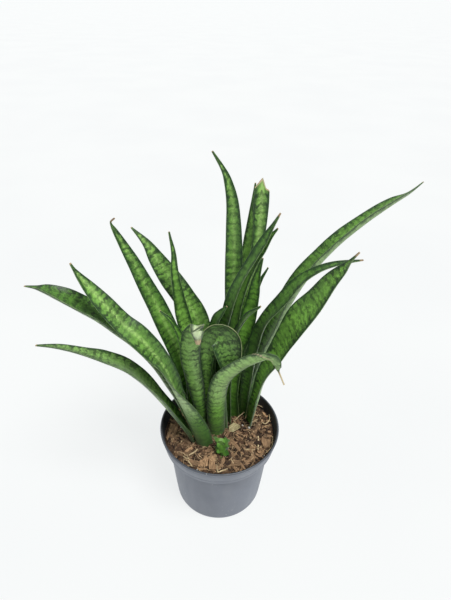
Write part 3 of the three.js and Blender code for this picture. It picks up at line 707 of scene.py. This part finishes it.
def torn_offset(offsets, u):
    """How far a torn edge stands out at u, with small fibres between its main points."""
    place = (u + 1) / 2 * (len(offsets) - 1)
    i = min(int(place), len(offsets) - 2)
    k = place - i
    fringe = 0.9 * math.sin(u * 37.0) * math.cos(u * 19.0 + 1.0)
    return offsets[i] * (1 - k) + offsets[i + 1] * k + fringe


def blade_rings(name, inner, rows, look, seed):
    """Points, thicknesses and measures of every ring of a blade's middle surface."""
    rings = []
    foot = previous = Vector(rows[0][:3])
    last = len(rows) - 1
    torn = TORN.get(name)
    pleat = look.get("pleat", 0.0)
    knobs = look.get("knobs", 0.0)
    along_rib = 0.0
    for t in fine_stops(rows):
        x, y, z, width, _, cup = row_at(rows, t)
        centre = Vector((x, y, z))
        along_rib += (centre - previous).length
        previous = centre
        along, out, side = frame_at(inner, rows, t)
        angle = math.radians(max(cup, 5))
        radius = max(width, 0.9) / 2 / math.sin(min(angle, math.pi / 2))
        half = radius * angle
        ripple = RIPPLE * math.sin((centre - foot).length / RIPPLE_LENGTH * TURN)
        core = max(min(BLADE_CORE, 0.7 + 0.12 * width), BLADE_EDGE)
        free = clamp((z - 120) / 60)
        ring = []
        for u in columns(half):
            wobble = noise.noise(Vector((along_rib / 13, seed * 3.1 + math.copysign(4, u), 0.5)))
            bend = angle * u * (1 + 0.016 * free * wobble * abs(u))
            point = centre + side * (radius * math.sin(bend))
            point += out * (radius * (1 - math.cos(bend)) + ripple * u ** 3)
            normal = out * math.cos(bend) - side * math.sin(bend)
            billow = noise.noise(Vector((along_rib / 17, u * 1.3, seed * 5.7)))
            fold = math.sin(along_rib / PLEAT_LENGTH * TURN + 3 * billow + 2.5 * u * u)
            point += normal * (BILLOW * free * billow + pleat * fold * (1 - u * u))
            point -= normal * BILLOW * free * math.exp(-((u * half / 1.4) ** 2))
            if knobs and z > SOIL_LEVEL:
                lump = Vector((along_rib / 2.7, u * half / 3.4, seed * 2.3))
                shifts = [noise.noise(lump + Vector((0, 0, 19.3 * k + 4))) for k in range(3)]
                point += Vector(shifts) * knobs
                point += normal * knobs * 0.4 * noise.noise(lump * 2.1)
            if torn and t > last - 0.6:
                point += along * torn_offset(torn, u) * clamp((t - last + 0.6) / 0.6) ** 1.5
            inset = (1 - abs(u)) * half
            lip = math.sqrt(max(0.0, 1 - (1 - clamp(inset / LIP)) ** 2))
            thick = (core * (1 - u * u) + BLADE_EDGE * u * u) * (0.3 + 0.7 * lip)
            ring.append((point * MM, thick, u * half, inset))
        rings.append((ring, along_rib, z))
    return rings


def tone_at(look, side, share_left):
    """How bright the green is at a place between the margins, this far from the tip. Its side term is
    painted light, one half of the blade made brighter for light falling on one side of the cupped
    leaf, and on the hooked leaf its tip term is painted shade.
    """
    towards_tip = look.get("tip", 0.0) * clamp((0.42 - share_left) / 0.2)
    return clamp(look["tone"] + towards_tip + look.get("side", 0.0) * clamp(2 * side, -1, 1))


def past_fold(look, side, from_tip):
    """How far a place lies past the crease line of a margin shown folded over, as a share of the
    blade's half width. The blade is not folded: the crease and the painted shade past it are in the
    colour only.
    """
    start, end = look.get("fold", (-1.0, -2.0))
    if not end < from_tip < start:
        return -1.0
    return side - 1 + 1.5 * (start - from_tip) / (start - end)


def tan_at(look, side, from_tip):
    amount, reach, which = look.get("tan", (0.0, 1.0, 0))
    return 0.0 if which * side < 0 else amount * clamp((reach - from_tip) / TAN_FADE)


def blade(name, inner, rows, look, seed):
    """A thin sheet bent into the leaf's form, with the measures that its pattern needs."""
    rings = blade_rings(name, inner, rows, look, seed)
    wide = len(rings[0][0])
    let_go()
    bpy.ops.mesh.primitive_grid_add(x_subdivisions=wide - 1, y_subdivisions=len(rings) - 1, size=2)
    piece = new_piece("dressed_" + name)
    mesh = piece.data
    thickness = piece.vertex_groups.new(name="thickness")
    total = rings[-1][1]
    lost = TEAR_LOSS if name in TORN else 0
    bloom_and_sheen_shares = [*look["bloom_and_sheen"], look.get("pale_tip", 0.001)]
    sheet = []
    fields = {"reach": [], "look": [], "growth": [], "crease": [], "bloom_and_sheen": []}
    for vertex in mesh.vertices:
        i = round((vertex.co.x + 1) / 2 * (wide - 1))
        j = round((vertex.co.y + 1) / 2 * (len(rings) - 1))
        ring, along_rib, z = rings[j]
        place, thick, across, inset = ring[i]
        vertex.co = place
        thickness.add([vertex.index], thick / BLADE_CORE, "REPLACE")
        sheet.append((across / 10, along_rib / 10))
        from_tip = total - along_rib + lost
        side = 2 * i / (wide - 1) - 1
        folded = past_fold(look, side, from_tip)
        at_tear = name == "leaf_broken_top" and j == len(rings) - 1
        # Past the crease line the green is darker: painted shade, for the inner face of the
        # folded-over margin.
        tone = tone_at(look, side, from_tip / total) - 0.45 * clamp(folded * 8)
        fields["reach"] += [inset, from_tip, z - SOIL_LEVEL]
        fields["look"] += [tone, look["bands"], look.get("rib", 0.0)]
        fields["growth"] += [seed * 1.37, look["dry"], tan_at(look, side, from_tip)]
        fields["crease"] += [0.9 if at_tear else clamp(1 - abs(folded) / 0.16)]
        fields["bloom_and_sheen"] += bloom_and_sheen_shares
    for label, values in fields.items():
        share(mesh, label, values)
    lay_sheet(mesh, "blade", sheet)
    return piece


def thicken(piece):
    """Gives a bent sheet its thickness: inner face, outer face and margin."""
    wall = piece.modifiers.new("wall", "SOLIDIFY")
    wall.thickness = BLADE_CORE * MM
    wall.offset = 0
    wall.vertex_group = "thickness"
    wall.use_quality_normals = True
    wall.material_offset = 1
    wall.material_offset_rim = 2
    finish_modifier(piece, wall)
    piece.vertex_groups.clear()
    smooth(piece, 55)


def make_leaves():
    green = leaf_pattern()
    inner_face = leaf_face("leaf inner face", green, 0.42, 1.0, 0, 0.08)
    outer_face = leaf_face("leaf outer face", green, 0.48, 0.85, 1, 0.22)
    materials = [inner_face, outer_face, leaf_margin(green), torn_flesh()]
    made = {}
    for seed, (name, (inner, rows)) in enumerate(LEAVES.items()):
        made[name] = blade(name, inner, rows, LOOKS[name], seed + 1)
        dress(made[name], materials, "green_leaf", name)
        thicken(made[name])
    for name in TORN:
        before, end = (Vector(row[:3]) * MM for row in LEAVES[name][1][-2:])
        up = (end - before).normalized()
        for face in made[name].data.polygons:
            if face.normal.dot(up) > 0.55 and (face.center - end).dot(up) > -6 * MM:
                face.material_index = 3 if name == "leaf_broken_top" else 2


def make_scrap():
    """The dry scrap of leaf that lies on the soil."""
    look = dict(tone=0.5, bands=0, bloom_and_sheen=(0, 0), dry=1)
    piece = blade("dry_leaf_scrap", *SCRAP, look, 40)
    material, nodes, shader = finish_of("dry leaf")
    across, along = nodes.sheet("blade")
    fibre = nodes.cloud(nodes.spot(across * 22, along * 1.4, 3.0), 1.0, 3.0, 0.6)
    patch = nodes.cloud(nodes.spot(across * 2.5, along * 2.5, 8.0))
    base = nodes.cover(
        colour(0.2, 0.15, 0.06),
        (nodes.ramp(fibre, 0.3, 0.7), colour(0.62, 0.56, 0.32)),
        (nodes.ramp(patch, 0.45, 0.7, 0.0, 0.5), colour(0.2, 0.14, 0.06)),
    )
    coat(nodes, shader, base, 0.85, fibre, 0.0004, 0.8)
    dress(piece, [material] * 3, "dry_leaf", "dry_leaf_scrap")
    thicken(piece)


# ---- pot ----

def pot_radius(z):
    if z < POT_COLLAR_FOOT:
        return POT_BASE + (POT_BODY - POT_BASE) * z / POT_COLLAR_FOOT
    share_up = (z - POT_COLLAR_FOOT) / (POT_HEIGHT - POT_COLLAR_FOOT)
    return POT_COLLAR_FOOT_RADIUS + (POT_RIM - POT_COLLAR_FOOT_RADIUS) * share_up


def turn_outline(name, outline, steps):
    """Extrudes one point along the outline, then spins it round the pot's axis."""
    let_go()
    bpy.ops.mesh.primitive_plane_add(size=2 * MM, location=(0, 0, 0))
    piece = new_piece(name)
    start_edit()
    bpy.ops.mesh.merge(type="CENTER")
    here = outline[0]
    bpy.ops.transform.translate(value=at(here[0], 0, here[1]))
    for r, z in outline[1:]:
        extrude(r - here[0], 0, z - here[1])
        here = (r, z)
    bpy.ops.mesh.select_all(action="SELECT")
    bpy.ops.mesh.spin(steps=steps, angle=TURN, center=(0, 0, 0), axis=(0, 0, 1))
    bpy.ops.mesh.select_all(action="SELECT")
    bpy.ops.mesh.remove_doubles(threshold=0.01 * MM)
    end_edit()
    return piece


def pot_outline():
    """The pot's section, from the middle of its underside over the rim to its floor."""
    heel = pot_radius(0) - POT_HEEL
    outline = [(0, 0), (heel - 3, 0)]
    for i in range(7):
        a = i / 6 * math.pi / 2
        outline.append((heel + POT_HEEL * math.sin(a), POT_HEEL * (1 - math.cos(a))))
    outline += [(pot_radius(z), z) for z in (20, 40, 60)]
    for start, mouldings in ((POT_COLLAR_FOOT, COLLAR_MOULDINGS), (POT_HEIGHT, RIM_MOULDINGS)):
        for level, inset, height in mouldings:
            outline.append((pot_radius(start + level) - inset, start + height))
    top = POT_HEIGHT - POT_LIP
    for i in range(9):
        a = i / 8 * math.pi
        outline.append((pot_radius(top) + POT_LIP * (math.cos(a) - 1), top + POT_LIP * math.sin(a)))
    collar = POT_COLLAR_FOOT
    return outline + [
        (pot_radius(POT_HEIGHT - 4) - POT_WALL - 0.4, POT_HEIGHT - 4),
        (pot_radius(collar + POT_WALL) - POT_WALL, collar + POT_WALL + 0.4),
        (pot_radius(collar - 0.01) - POT_WALL, collar - 1),
        (pot_radius(POT_FLOOR) - POT_WALL, POT_FLOOR + 1.5),
        (pot_radius(POT_FLOOR) - POT_WALL - 1.5, POT_FLOOR),
        (0, POT_FLOOR),
    ]


def drill_drains(pot):
    drills = []
    for i in range(DRAIN_COUNT):
        angle = (i + 0.5) / DRAIN_COUNT * TURN
        place = at(DRAIN_CIRCLE * math.cos(angle), DRAIN_CIRCLE * math.sin(angle), POT_FLOOR / 2)
        let_go()
        bpy.ops.mesh.primitive_cylinder_add(
            vertices=32, radius=DRAIN_RADIUS * MM, depth=3 * POT_FLOOR * MM, location=place
        )
        drills.append(new_piece("drill"))
    let_go()
    for drill in drills:
        drill.select_set(True)
    bpy.context.view_layer.objects.active = drills[0]
    bpy.ops.object.join()
    cutter = drills[0]
    settle(cutter)
    holes = pot.modifiers.new("drains", "BOOLEAN")
    holes.operation = "DIFFERENCE"
    holes.solver = "EXACT"
    holes.object = cutter
    finish_modifier(pot, holes)
    bpy.data.objects.remove(cutter)


def moulded_plastic():
    """Faint flow marks, fine grain, scuffs and specks of dust on matte plastic."""
    nodes, given, result = pattern(
        "moulded plastic",
        {"Tint": "Color", "Dust": "Float"},
        {"Color": "Color", "Scuffs": "Float", "Height": "Float"},
    )
    place = nodes.place()
    flow = nodes.cloud(place, 26, 3.0, 0.55)
    grain = nodes.cloud(place, 1900, 2.0, 0.6)
    x, y, z = nodes.parts(place)
    smear = nodes.cloud(nodes.spot(x * 55, y * 55, z * 16), 1.0, 4.0, 0.6)
    darker = nodes.mix(1.0, given["Tint"], colour(0.86, 0.86, 0.86), "MULTIPLY")
    paler = nodes.mix(1.0, given["Tint"], colour(0.015, 0.016, 0.018), "ADD")
    speck = nodes.ramp(nodes.cells(place, 165)[0], 0.08, 0.14, 1.0, 0.0)
    chosen = nodes.ramp(nodes.cloud(place, 60, 1.0), 0.56, 0.6)
    base = nodes.cover(
        darker,
        (nodes.ramp(flow, 0.3, 0.7), paler),
        (nodes.ramp(smear, 0.5, 0.78, 0.0, given["Dust"]), colour(0.5, 0.5, 0.48)),
        (nodes.ramp(grain, 0.3, 0.75, 0.0, 0.12), paler),
        (speck * chosen * 0.75, colour(0.6, 0.6, 0.57)),
    )
    nodes.feed(result, {"Color": base, "Scuffs": smear, "Height": grain + flow * 0.5})
    return nodes.tree


def pot_plastic(name, group, tint, dust, roughness):
    """Moulded plastic with a painted sheen: its colour paler where it turns away from the view."""
    material, nodes, shader = finish_of(name)
    made = nodes.use(group, Tint=tint, Dust=dust)
    facing = nodes.node("ShaderNodeLayerWeight", (0.5,))[1]
    # Painted sheen: the colour turns paler at grazing angles.
    lit = colour(*(1.55 * part for part in tint[:3]))
    base = nodes.mix(nodes.ramp(facing, 0.35, 0.9, 0.0, 0.7), made["Color"], lit)
    rough = nodes.ramp(made["Scuffs"], 0.3, 0.7, roughness - 0.06, roughness + 0.1)
    coat(nodes, shader, base, rough, made["Height"], 0.00012, 0.5)
    return material


def make_pot():
    pot = turn_outline("dressed_pot", pot_outline(), POT_STEPS)
    drill_drains(pot)
    plastic = moulded_plastic()
    outside = pot_plastic("pot plastic outside", plastic, colour(0.154, 0.17, 0.204), 0.1, 0.5)
    lip = pot_plastic("pot plastic lip", plastic, colour(0.075, 0.085, 0.105), 0.12, 0.45)
    inside = pot_plastic("pot plastic inside", plastic, colour(0.03, 0.033, 0.04), 0.2, 0.6)
    dress(pot, [outside, lip, inside], "pot_plastic", "pot")
    for face in pot.data.polygons:
        x, y, z = face.center / MM
        if math.hypot(x, y) < pot_radius(z) - 1.25 and z > POT_FLOOR - 0.1:
            face.material_index = 2
        elif z > POT_HEIGHT - 1.3:
            face.material_index = 1
    smooth(pot, 32)


# ---- soil ----

def soil_height(x, y):
    hummocks = math.sin(x * 0.31 + 0.6 * math.sin(y * 0.23)) * math.cos(y * 0.27 + 0.4)
    crumbs = math.sin(x * 0.83 + y * 0.47) * math.sin(y * 0.91 - x * 0.29)
    crown = 1.5 * math.exp(-(x * x + y * y) / 900)
    return SOIL_LEVEL + crown + SOIL_LUMP * (0.6 * hummocks + 0.4 * crumbs)


def on_soil(x, y, lift):
    return at(x, y, soil_height(x, y) + lift)


def clear_of_feet(x, y, room):
    """Whether a place has this much room between it and the foot of every leaf."""
    feet = [rows[1] for _, rows in LEAVES.values()]
    return all(math.hypot(x - foot[0], y - foot[1]) > foot[3] * 0.3 + room for foot in feet)


def draw_in(share_left, height):
    """Draws what is selected in towards the pot's axis and flattens it at a height."""
    bpy.ops.transform.resize(value=(share_left, share_left, 0), center_override=at(0, 0, height))


def soil_body():
    """A fine granular surface on a plug that fills the pot."""
    let_go()
    bpy.ops.mesh.primitive_grid_add(x_subdivisions=SOIL_CELLS, y_subdivisions=SOIL_CELLS, size=2)
    piece = new_piece("dressed_soil")
    top = pot_radius(SOIL_LEVEL) - SOIL_ROOM
    step = pot_radius(POT_COLLAR_FOOT - 1) - SOIL_ROOM
    foot = pot_radius(POT_FLOOR) - SOIL_ROOM - 1.8
    for vertex in piece.data.vertices:
        u, v, _ = vertex.co
        x = u * math.sqrt(1 - v * v / 2) * top
        y = v * math.sqrt(1 - u * u / 2) * top
        lumps = noise.noise(Vector((x / 2.6, y / 2.6, 1.0))) * 0.75
        crumb = noise.noise(Vector((x / 1.1, y / 1.1, 5.0))) * 0.35
        sunk = 1.6 * clamp(1 - (top - math.hypot(x, y)) / 3.0)
        vertex.co = on_soil(x, y, lumps + crumb - sunk)
    start_edit("DESELECT")
    bpy.ops.mesh.select_mode(type="VERT")
    bpy.ops.mesh.select_non_manifold()
    extrude(0, 0, -6)
    draw_in(step / top, SOIL_STEP)
    extrude(0, 0, SOIL_FOOT - SOIL_STEP)
    draw_in(foot / step, SOIL_FOOT)
    bpy.ops.mesh.edge_face_add()
    end_edit()
    smooth(piece, 60)
    return piece


def earth():
    """Damp brown crumbs between the bark chips."""
    material, nodes, shader = finish_of("soil crumbs")
    place = nodes.place()
    edge, tone = nodes.cells(place, 520)
    shade = nodes.cloud(place, 210, 4.0, 0.7)
    base = nodes.cover(
        colour(0.012, 0.006, 0.004),
        (nodes.ramp(shade, 0.32, 0.68), colour(0.12, 0.064, 0.033)),
        (nodes.ramp(nodes.cloud(place, 45), 0.35, 0.7, 0.0, 0.5), colour(0.1, 0.055, 0.03)),
        (nodes.ramp(tone, 0.72, 0.85, 0.0, 0.6), colour(0.28, 0.17, 0.09)),
    )
    coat(nodes, shader, base, 0.95, edge * -0.8 + shade, 0.0009, 0.9)
    return material


def split_grain():
    """Streaks along the length of a bit of bark or fibre. Each bit has its own tone."""
    nodes, given, result = pattern(
        "split grain",
        {"Dark": "Color", "Light": "Color", "Streaks": "Float"},
        {"Color": "Color", "Height": "Float"},
    )
    across, along = nodes.sheet("grain")
    tone, seed, _ = nodes.field("bit")
    fibre = nodes.cloud(nodes.spot(across * given["Streaks"], along * 1.6, seed), 1.0, 4.0, 0.65)
    blotch = nodes.cloud(nodes.spot(across * 2, along * 2, seed + 9))
    gap = nodes.mix(1.0, given["Dark"], colour(0.3, 0.3, 0.3), "MULTIPLY")
    base = nodes.cover(
        nodes.mix(tone, given["Dark"], given["Light"]),
        (nodes.ramp(fibre, 0.36, 0.64, 0.6, 0.0), gap),
        (nodes.ramp(blotch, 0.5, 0.75, 0.0, 0.45), given["Light"]),
    )
    nodes.feed(result, {"Color": base, "Height": fibre})
    return nodes.tree


def woody(name, group, dark, light, streaks):
    material, nodes, shader = finish_of(name)
    made = nodes.use(group, Dark=colour(*dark), Light=colour(*light), Streaks=streaks)
    coat(nodes, shader, made["Color"], 0.9, made["Height"], 0.0006, 0.9)
    return material


# ---- bark, fibres and grains on the soil ----

def form_of(piece):
    """The points and faces of a small form that is made once and copied."""
    points = [vertex.co.copy() for vertex in piece.data.vertices]
    faces = [tuple(face.vertices) for face in piece.data.polygons]
    bpy.data.objects.remove(piece)
    return points, faces


def flake_form(cuts):
    """One split bark flake of unit size."""
    let_go()
    bpy.ops.mesh.primitive_cube_add(size=1)
    piece = new_piece("flake")
    start_edit()
    bpy.ops.mesh.subdivide(number_cuts=cuts)
    end_edit(mend=False)
    return form_of(piece)


def strand_form(sides, rings):
    """One straight fibre of unit length along X and unit radius."""
    let_go()
    bpy.ops.mesh.primitive_circle_add(
        vertices=sides, radius=1, fill_type="NGON", rotation=(0, math.pi / 2, 0)
    )
    piece = new_piece("strand")
    settle(piece)
    start_edit()
    for _ in range(rings - 1):
        extrude(1 / (rings - 1) / MM, 0, 0)
    end_edit()
    return form_of(piece)


class Heap:
    """Many small bits gathered into one mesh, each with its own tone and grain."""

    def __init__(self):
        self.points = []
        self.faces = []
        self.grain = []
        self.bits = []
        self.count = 0

    def put(self, places, faces, grain, tone):
        first = len(self.points)
        self.points += places
        self.faces += [tuple(first + i for i in face) for face in faces]
        self.grain += grain
        self.count += 1
        self.bits += [tone, self.count * 0.731, 0.0] * len(places)

    def piece(self, name, material):
        """Makes one piece of the scene out of all the bits."""
        mesh = bpy.data.meshes.new(name)
        mesh.from_pydata(self.points, [], self.faces)
        mesh.update()
        share(mesh, "bit", self.bits)
        lay_sheet(mesh, "grain", self.grain)
        made = into_scene(name, mesh)
        dress(made, [material], "bark_soil")
        smooth(made, 38)


def put_flake(heap, form, size, turn, place, tone, ragged):
    """Lays one flake: its ends are split and its faces uneven."""
    points, faces = form
    length, width, height = size
    seed = heap.count * 2.17
    lie = Matrix.Translation(place) @ turn.to_4x4()
    places = []
    grain = []
    for x, y, z in points:
        end = clamp(abs(x) * 2 - 0.3)
        split = noise.noise(Vector((y * 5 + seed, z * 4, 2.0)))
        taper = 1 - ragged * 0.55 * end * end
        bow = 0.16 * math.sin(seed) * (x * 2) ** 2
        rough = noise.noise(Vector((x * 3 + seed, y * 3, z * 3)))
        px = (x + math.copysign(0.22 * ragged * end * split, x)) * length
        py = (y * taper * (1 + 0.35 * rough) + bow) * width
        pz = (z * (1 + 0.6 * rough) * taper + 0.3 * bow) * height
        places.append(lie @ at(px, py, pz))
        grain.append((py / 10 + z * 0.3, px / 10))
    heap.put(places, faces, grain, tone)


def put_strand(heap, form, path, radius, tone, flat=1.0):
    """Bends one straight fibre along a path of points in millimetres."""
    points, faces = form
    frames = []
    for i in range(STRAND_STOPS + 1):
        t = i / STRAND_STOPS * (len(path) - 1)
        along = heading_at(path, t)
        side = along.cross(Vector((0, 0, 1)))
        side = side.normalized() if side.length > 0.01 else Vector((1, 0, 0))
        frames.append((Vector(row_at(path, t)), side, side.cross(along)))
    places = []
    grain = []
    for x, y, z in points:
        i = round(clamp(x) * STRAND_STOPS)
        here, side, up = frames[i]
        thin = radius * (0.45 + 0.55 * math.sin(math.pi * clamp(0.12 + 0.76 * x)))
        places.append((here + side * (y * thin / flat) + up * (z * thin * flat)) * MM)
        grain.append((math.atan2(z, y) * 0.1, i * 0.1))
    heap.put(places, faces, grain, tone)


def turned_about(x, y, z):
    return Matrix.Rotation(z, 3, "Z") @ Matrix.Rotation(y, 3, "Y") @ Matrix.Rotation(x, 3, "X")


def strewn(turn, spread, limit):
    """A place on the soil from two draws, and its distance from the pot's axis."""
    reach = limit * math.sqrt(spread)
    return reach * math.cos(turn * TURN), reach * math.sin(turn * TURN), reach


def draws(seed):
    """The seeded draw of the part's source, so its chips lie where they lie there."""
    state = seed
    while True:
        state = (state * 1664525 + 1013904223) % 4294967296
        yield state / 4294967296


def main_chips(heap, form):
    """The larger bark chips, each where the solid soil has it."""
    draw = draws(CHIP_SEED)
    tones = random.Random(5)
    for _ in range(CHIP_COUNT):
        x, y, _ = strewn(next(draw), next(draw), CHIP_REACH)
        length = CHIP_SHORTEST + (CHIP_LONGEST - CHIP_SHORTEST) * next(draw) ** 2
        size = (length, 2.2 + 3 * next(draw), 1.6 + 1.2 * next(draw))
        roll = (next(draw) - 0.5) * 0.9
        pitch = (next(draw) - 0.5) * 0.5
        turn = turned_about(roll, pitch, next(draw) * math.pi)
        tone = tones.random() ** 1.8
        if clear_of_feet(x, y, 2.5):
            put_flake(heap, form, size, turn, on_soil(x, y, 0.5), tone, 0.8)


def small_bark(heap, form):
    """Short splinters of bark, strewn all over."""
    draw = random.Random(23)
    while heap.count < SPLINTER_COUNT:
        x, y, reach = strewn(draw.random(), draw.random(), SPLINTER_REACH)
        length = 2.4 + 7.5 * draw.random() ** 2
        size = (length, 0.8 + 1.9 * draw.random(), 0.5 + 0.9 * draw.random())
        roll = draw.uniform(-0.8, 0.8)
        turn = turned_about(roll, draw.uniform(-0.45, 0.45), draw.random() * math.pi)
        tone = draw.random() ** 2.2
        lift = draw.uniform(0.1, 1.5)
        if reach + length / 2 <= SPLINTER_LIMIT and clear_of_feet(x, y, 1.2):
            put_flake(heap, form, size, turn, on_soil(x, y, lift), tone, 1.0)


def coir(heap, form):
    """Thin curved fibres on and in the surface."""
    draw = random.Random(41)
    while heap.count < FIBRE_COUNT:
        x, y, _ = strewn(draw.random(), draw.random(), FIBRE_REACH)
        heading = draw.random() * TURN
        length = 4 + 12 * draw.random() ** 1.5
        curl = draw.uniform(-1.4, 1.4)
        lift = draw.uniform(0.5, 1.6)
        path = []
        for i in range(5):
            path.append((x, y, soil_height(x, y) + lift + 0.7 * math.sin(i / 4 * math.pi)))
            x += length / 4 * math.cos(heading)
            y += length / 4 * math.sin(heading)
            heading += curl / 4
        if max(math.hypot(p[0], p[1]) for p in path) <= FIBRE_LIMIT:
            radius = draw.uniform(0.16, 0.34)
            put_strand(heap, form, path, radius, draw.random(), draw.choice((1.0, 0.6)))


# Bits that the photo shows clearly. Places are millimetres across the soil.
BARK_PIECES = [
    # x, y, heading in degrees, length, width, height, tone
    (-48, -4, 84, 19, 9, 3.0, 0.62),
    (15, -18.3, -45, 17, 3.4, 2.0, 0.5),
    (17.3, -28, -110, 4, 1.6, 1.2, 0.7),
    (16.6, -40, 5, 9, 7, 2.6, 0.42),
    (46, -12.5, 86, 14, 7.5, 3.0, 0.55),
    (-12, -39, 92, 15.5, 3.6, 3.0, 0.8),
    (-6.4, -38.6, 88, 17, 6, 3.4, 0.72),
    (-34, -14, -36, 14, 3.0, 2.4, 0.35),
    (-24, -40, -20, 12, 5, 2.6, 0.45),
    (30, -34, 35, 12, 5, 2.6, 0.5),
    (37, 2, 60, 12, 5.5, 2.4, 0.36),
    (-44, 12, 60, 13, 6, 2.6, 0.3),
    (30, 30, 15, 12, 5, 2.4, 0.45),
    (-2, -44, 10, 8, 4, 2.2, 0.55),
    (4, -38, 75, 11, 3.4, 2.4, 0.62),
]
STALKS = [
    # points, radius, tone
    ([(39.3, -6.7), (39.0, -15), (38.5, -23.6)], 0.85, 0.95),
    ([(21.6, -23.3), (28, -23.4), (34.9, -22.9)], 0.6, 0.6),
    ([(-28.8, -31.9), (-25, -28.6), (-20.9, -24.8)], 0.75, 0.9),
    ([(31.4, 7.8), (35.2, 11.5), (39.3, 14)], 0.5, 0.75),
    ([(14.6, 8, 90), (20, 12.6, 93), (25.4, 16.4, 95)], 0.5, 0.95),
    ([(-34.6, -32.7), (-31, -34.4), (-27.5, -37)], 0.5, 0.85),
    ([(-29.4, -37), (-27.5, -40.6), (-24.8, -43.9)], 0.55, 0.85),
    ([(-31.5, -30), (-29.2, -35), (-28.8, -40)], 0.4, 0.8),
    ([(54, -6.4), (52.2, -18.9), (45.4, -27.6)], 0.5, 0.7),
    ([(-1.7, -41.2), (-0.6, -49.1), (4.1, -48.1), (8.7, -45.4)], 0.6, 0.95),
    ([(40.5, 35.5), (46, 32.6), (50.5, 28.2), (52.4, 20.2), (51.4, 13.2), (47.4, 9.7), (44, 11.6)],
     0.55, 0.9),
]
# x, y, radius
PERLITE = [(23.6, 6.5, 1.0), (30.3, 3.6, 1.3), (-8, -33, 0.6), (44, -30, 0.6), (-40, 2, 0.6),
           (12, -33, 0.7), (-20, -47, 0.6), (33, -44, 0.6)]


def along_soil(points, lift):
    """Points on the soil. One that has a height of its own keeps it."""
    return [(x, y, z[0] if z else soil_height(x, y) + lift) for x, y, *z in points]


def grains(heap):
    """White grains: small uneven lumps."""
    let_go()
    bpy.ops.mesh.primitive_ico_sphere_add(subdivisions=2, radius=1)
    points, faces = form_of(new_piece("grain"))
    for x, y, size in PERLITE:
        centre = on_soil(x, y, 1.3)
        places = []
        for point in points:
            uneven = 1 + 0.45 * noise.noise(point * 1.4 + Vector((x, y, 0)))
            places.append(centre + point * (size * uneven * MM))
        heap.put(places, faces, [(point.x * 0.1, point.y * 0.1) for point in points], 0.9)


def make_soil():
    dress(soil_body(), [earth()], "bark_soil", "soil")
    chips, splinters, fibres, stalks, perlite = (Heap() for _ in range(5))
    large = flake_form(3)
    main_chips(chips, large)
    for x, y, heading, length, width, height, tone in BARK_PIECES:
        turn = turned_about(0.12 * math.sin(x), 0.1 * math.cos(y), math.radians(heading))
        put_flake(chips, large, (length, width, height), turn, on_soil(x, y, 1.1), tone, 0.7)
    small_bark(splinters, flake_form(2))
    coir(fibres, strand_form(5, 9))
    long_strand = strand_form(7, 17)
    for points, radius, tone in STALKS:
        put_strand(stalks, long_strand, along_soil(points, 1.9), radius, tone)
    grains(perlite)

    grain = split_grain()
    bark = woody("split bark", grain, (0.034, 0.017, 0.009), (0.6, 0.37, 0.2), 16)
    straw = woody("coir fibre", grain, (0.12, 0.065, 0.032), (0.78, 0.56, 0.32), 20)
    stalk = woody("pale stalk", grain, (0.35, 0.22, 0.11), (0.8, 0.64, 0.38), 12)
    white = woody("white grain", grain, (0.5, 0.5, 0.46), (0.85, 0.85, 0.8), 3)
    chips.piece("bark_chips", bark)
    splinters.piece("bark_splinters", bark)
    fibres.piece("coir_fibres", straw)
    stalks.piece("pale_stalks", stalk)
    perlite.piece("white_grains", white)


# ---- studio ----

def make_camera():
    forward = Vector((0, math.cos(CAMERA_DOWN), -math.sin(CAMERA_DOWN)))
    level = Vector((1, 0, 0))
    up = level.cross(forward)
    right = level * math.cos(CAMERA_ROLL) + up * math.sin(CAMERA_ROLL)
    top = up * math.cos(CAMERA_ROLL) - level * math.sin(CAMERA_ROLL)
    lens = bpy.data.cameras.new("camera")
    lens.lens = CAMERA_LENS
    lens.sensor_width = CAMERA_SENSOR
    lens.clip_start = 0.01
    lens.clip_end = 400
    camera = into_scene("camera", lens)
    turn = Matrix((right, top, -forward)).transposed()
    camera.matrix_world = Matrix.Translation(CAMERA_PLACE) @ turn.to_4x4()
    bpy.context.scene.camera = camera


def make_floor():
    let_go()
    bpy.ops.mesh.primitive_grid_add(
        x_subdivisions=2, y_subdivisions=2, size=FLOOR_WIDTH, location=(0, 0, 0)
    )
    floor = new_piece("floor")
    material, nodes, shader = finish_of("pale floor")
    faint = nodes.ramp(nodes.cloud(nodes.place(), 3.0), 0.3, 0.7)
    nodes.feed(shader, {
        "Base Color": nodes.mix(faint, colour(0.12, 0.122, 0.125), colour(0.135, 0.137, 0.137)),
        "Roughness": 0.7,
        "Specular IOR Level": 0.1,
        "Emission Color": colour(0.98, 1.0, 1.0),
        "Emission Strength": FLOOR_GLOW,
    })
    floor.data.materials.append(material)


def make_studio():
    """Soft light from above, and a backdrop as pale as the floor."""
    world = bpy.data.worlds.new("studio")
    world.use_nodes = True
    nodes = Nodes(world.node_tree)
    around = world.node_tree.nodes["Background"]
    nodes.feed(around.inputs, (colour(0.94, 0.97, 1.0), SURROUND))
    backdrop = nodes.node("ShaderNodeBackground", (colour(0.955, 0.98, 0.975),))[0]
    seen = nodes.node("ShaderNodeLightPath")[0]
    surround = Signal(nodes, around.outputs[0])
    blend = nodes.node("ShaderNodeMixShader", (seen, surround, backdrop))[0]
    nodes.feed(world.node_tree.nodes["World Output"].inputs, (blend,))
    bpy.context.scene.world = world
    for name, (towards, strength, spread, tint) in LIGHTS.items():
        lamp = bpy.data.lights.new(name, "SUN")
        lamp.energy = strength
        lamp.angle = math.radians(spread)
        lamp.color = tint
        light = into_scene(name, lamp)
        light.rotation_euler = Vector(towards).to_track_quat("-Z", "Y").to_euler()
    bpy.context.scene.view_settings.view_transform = "Standard"
    bpy.context.scene.view_settings.look = "None"


make_camera()
make_floor()
make_studio()
make_pot()
make_soil()
make_scrap()
make_leaves()
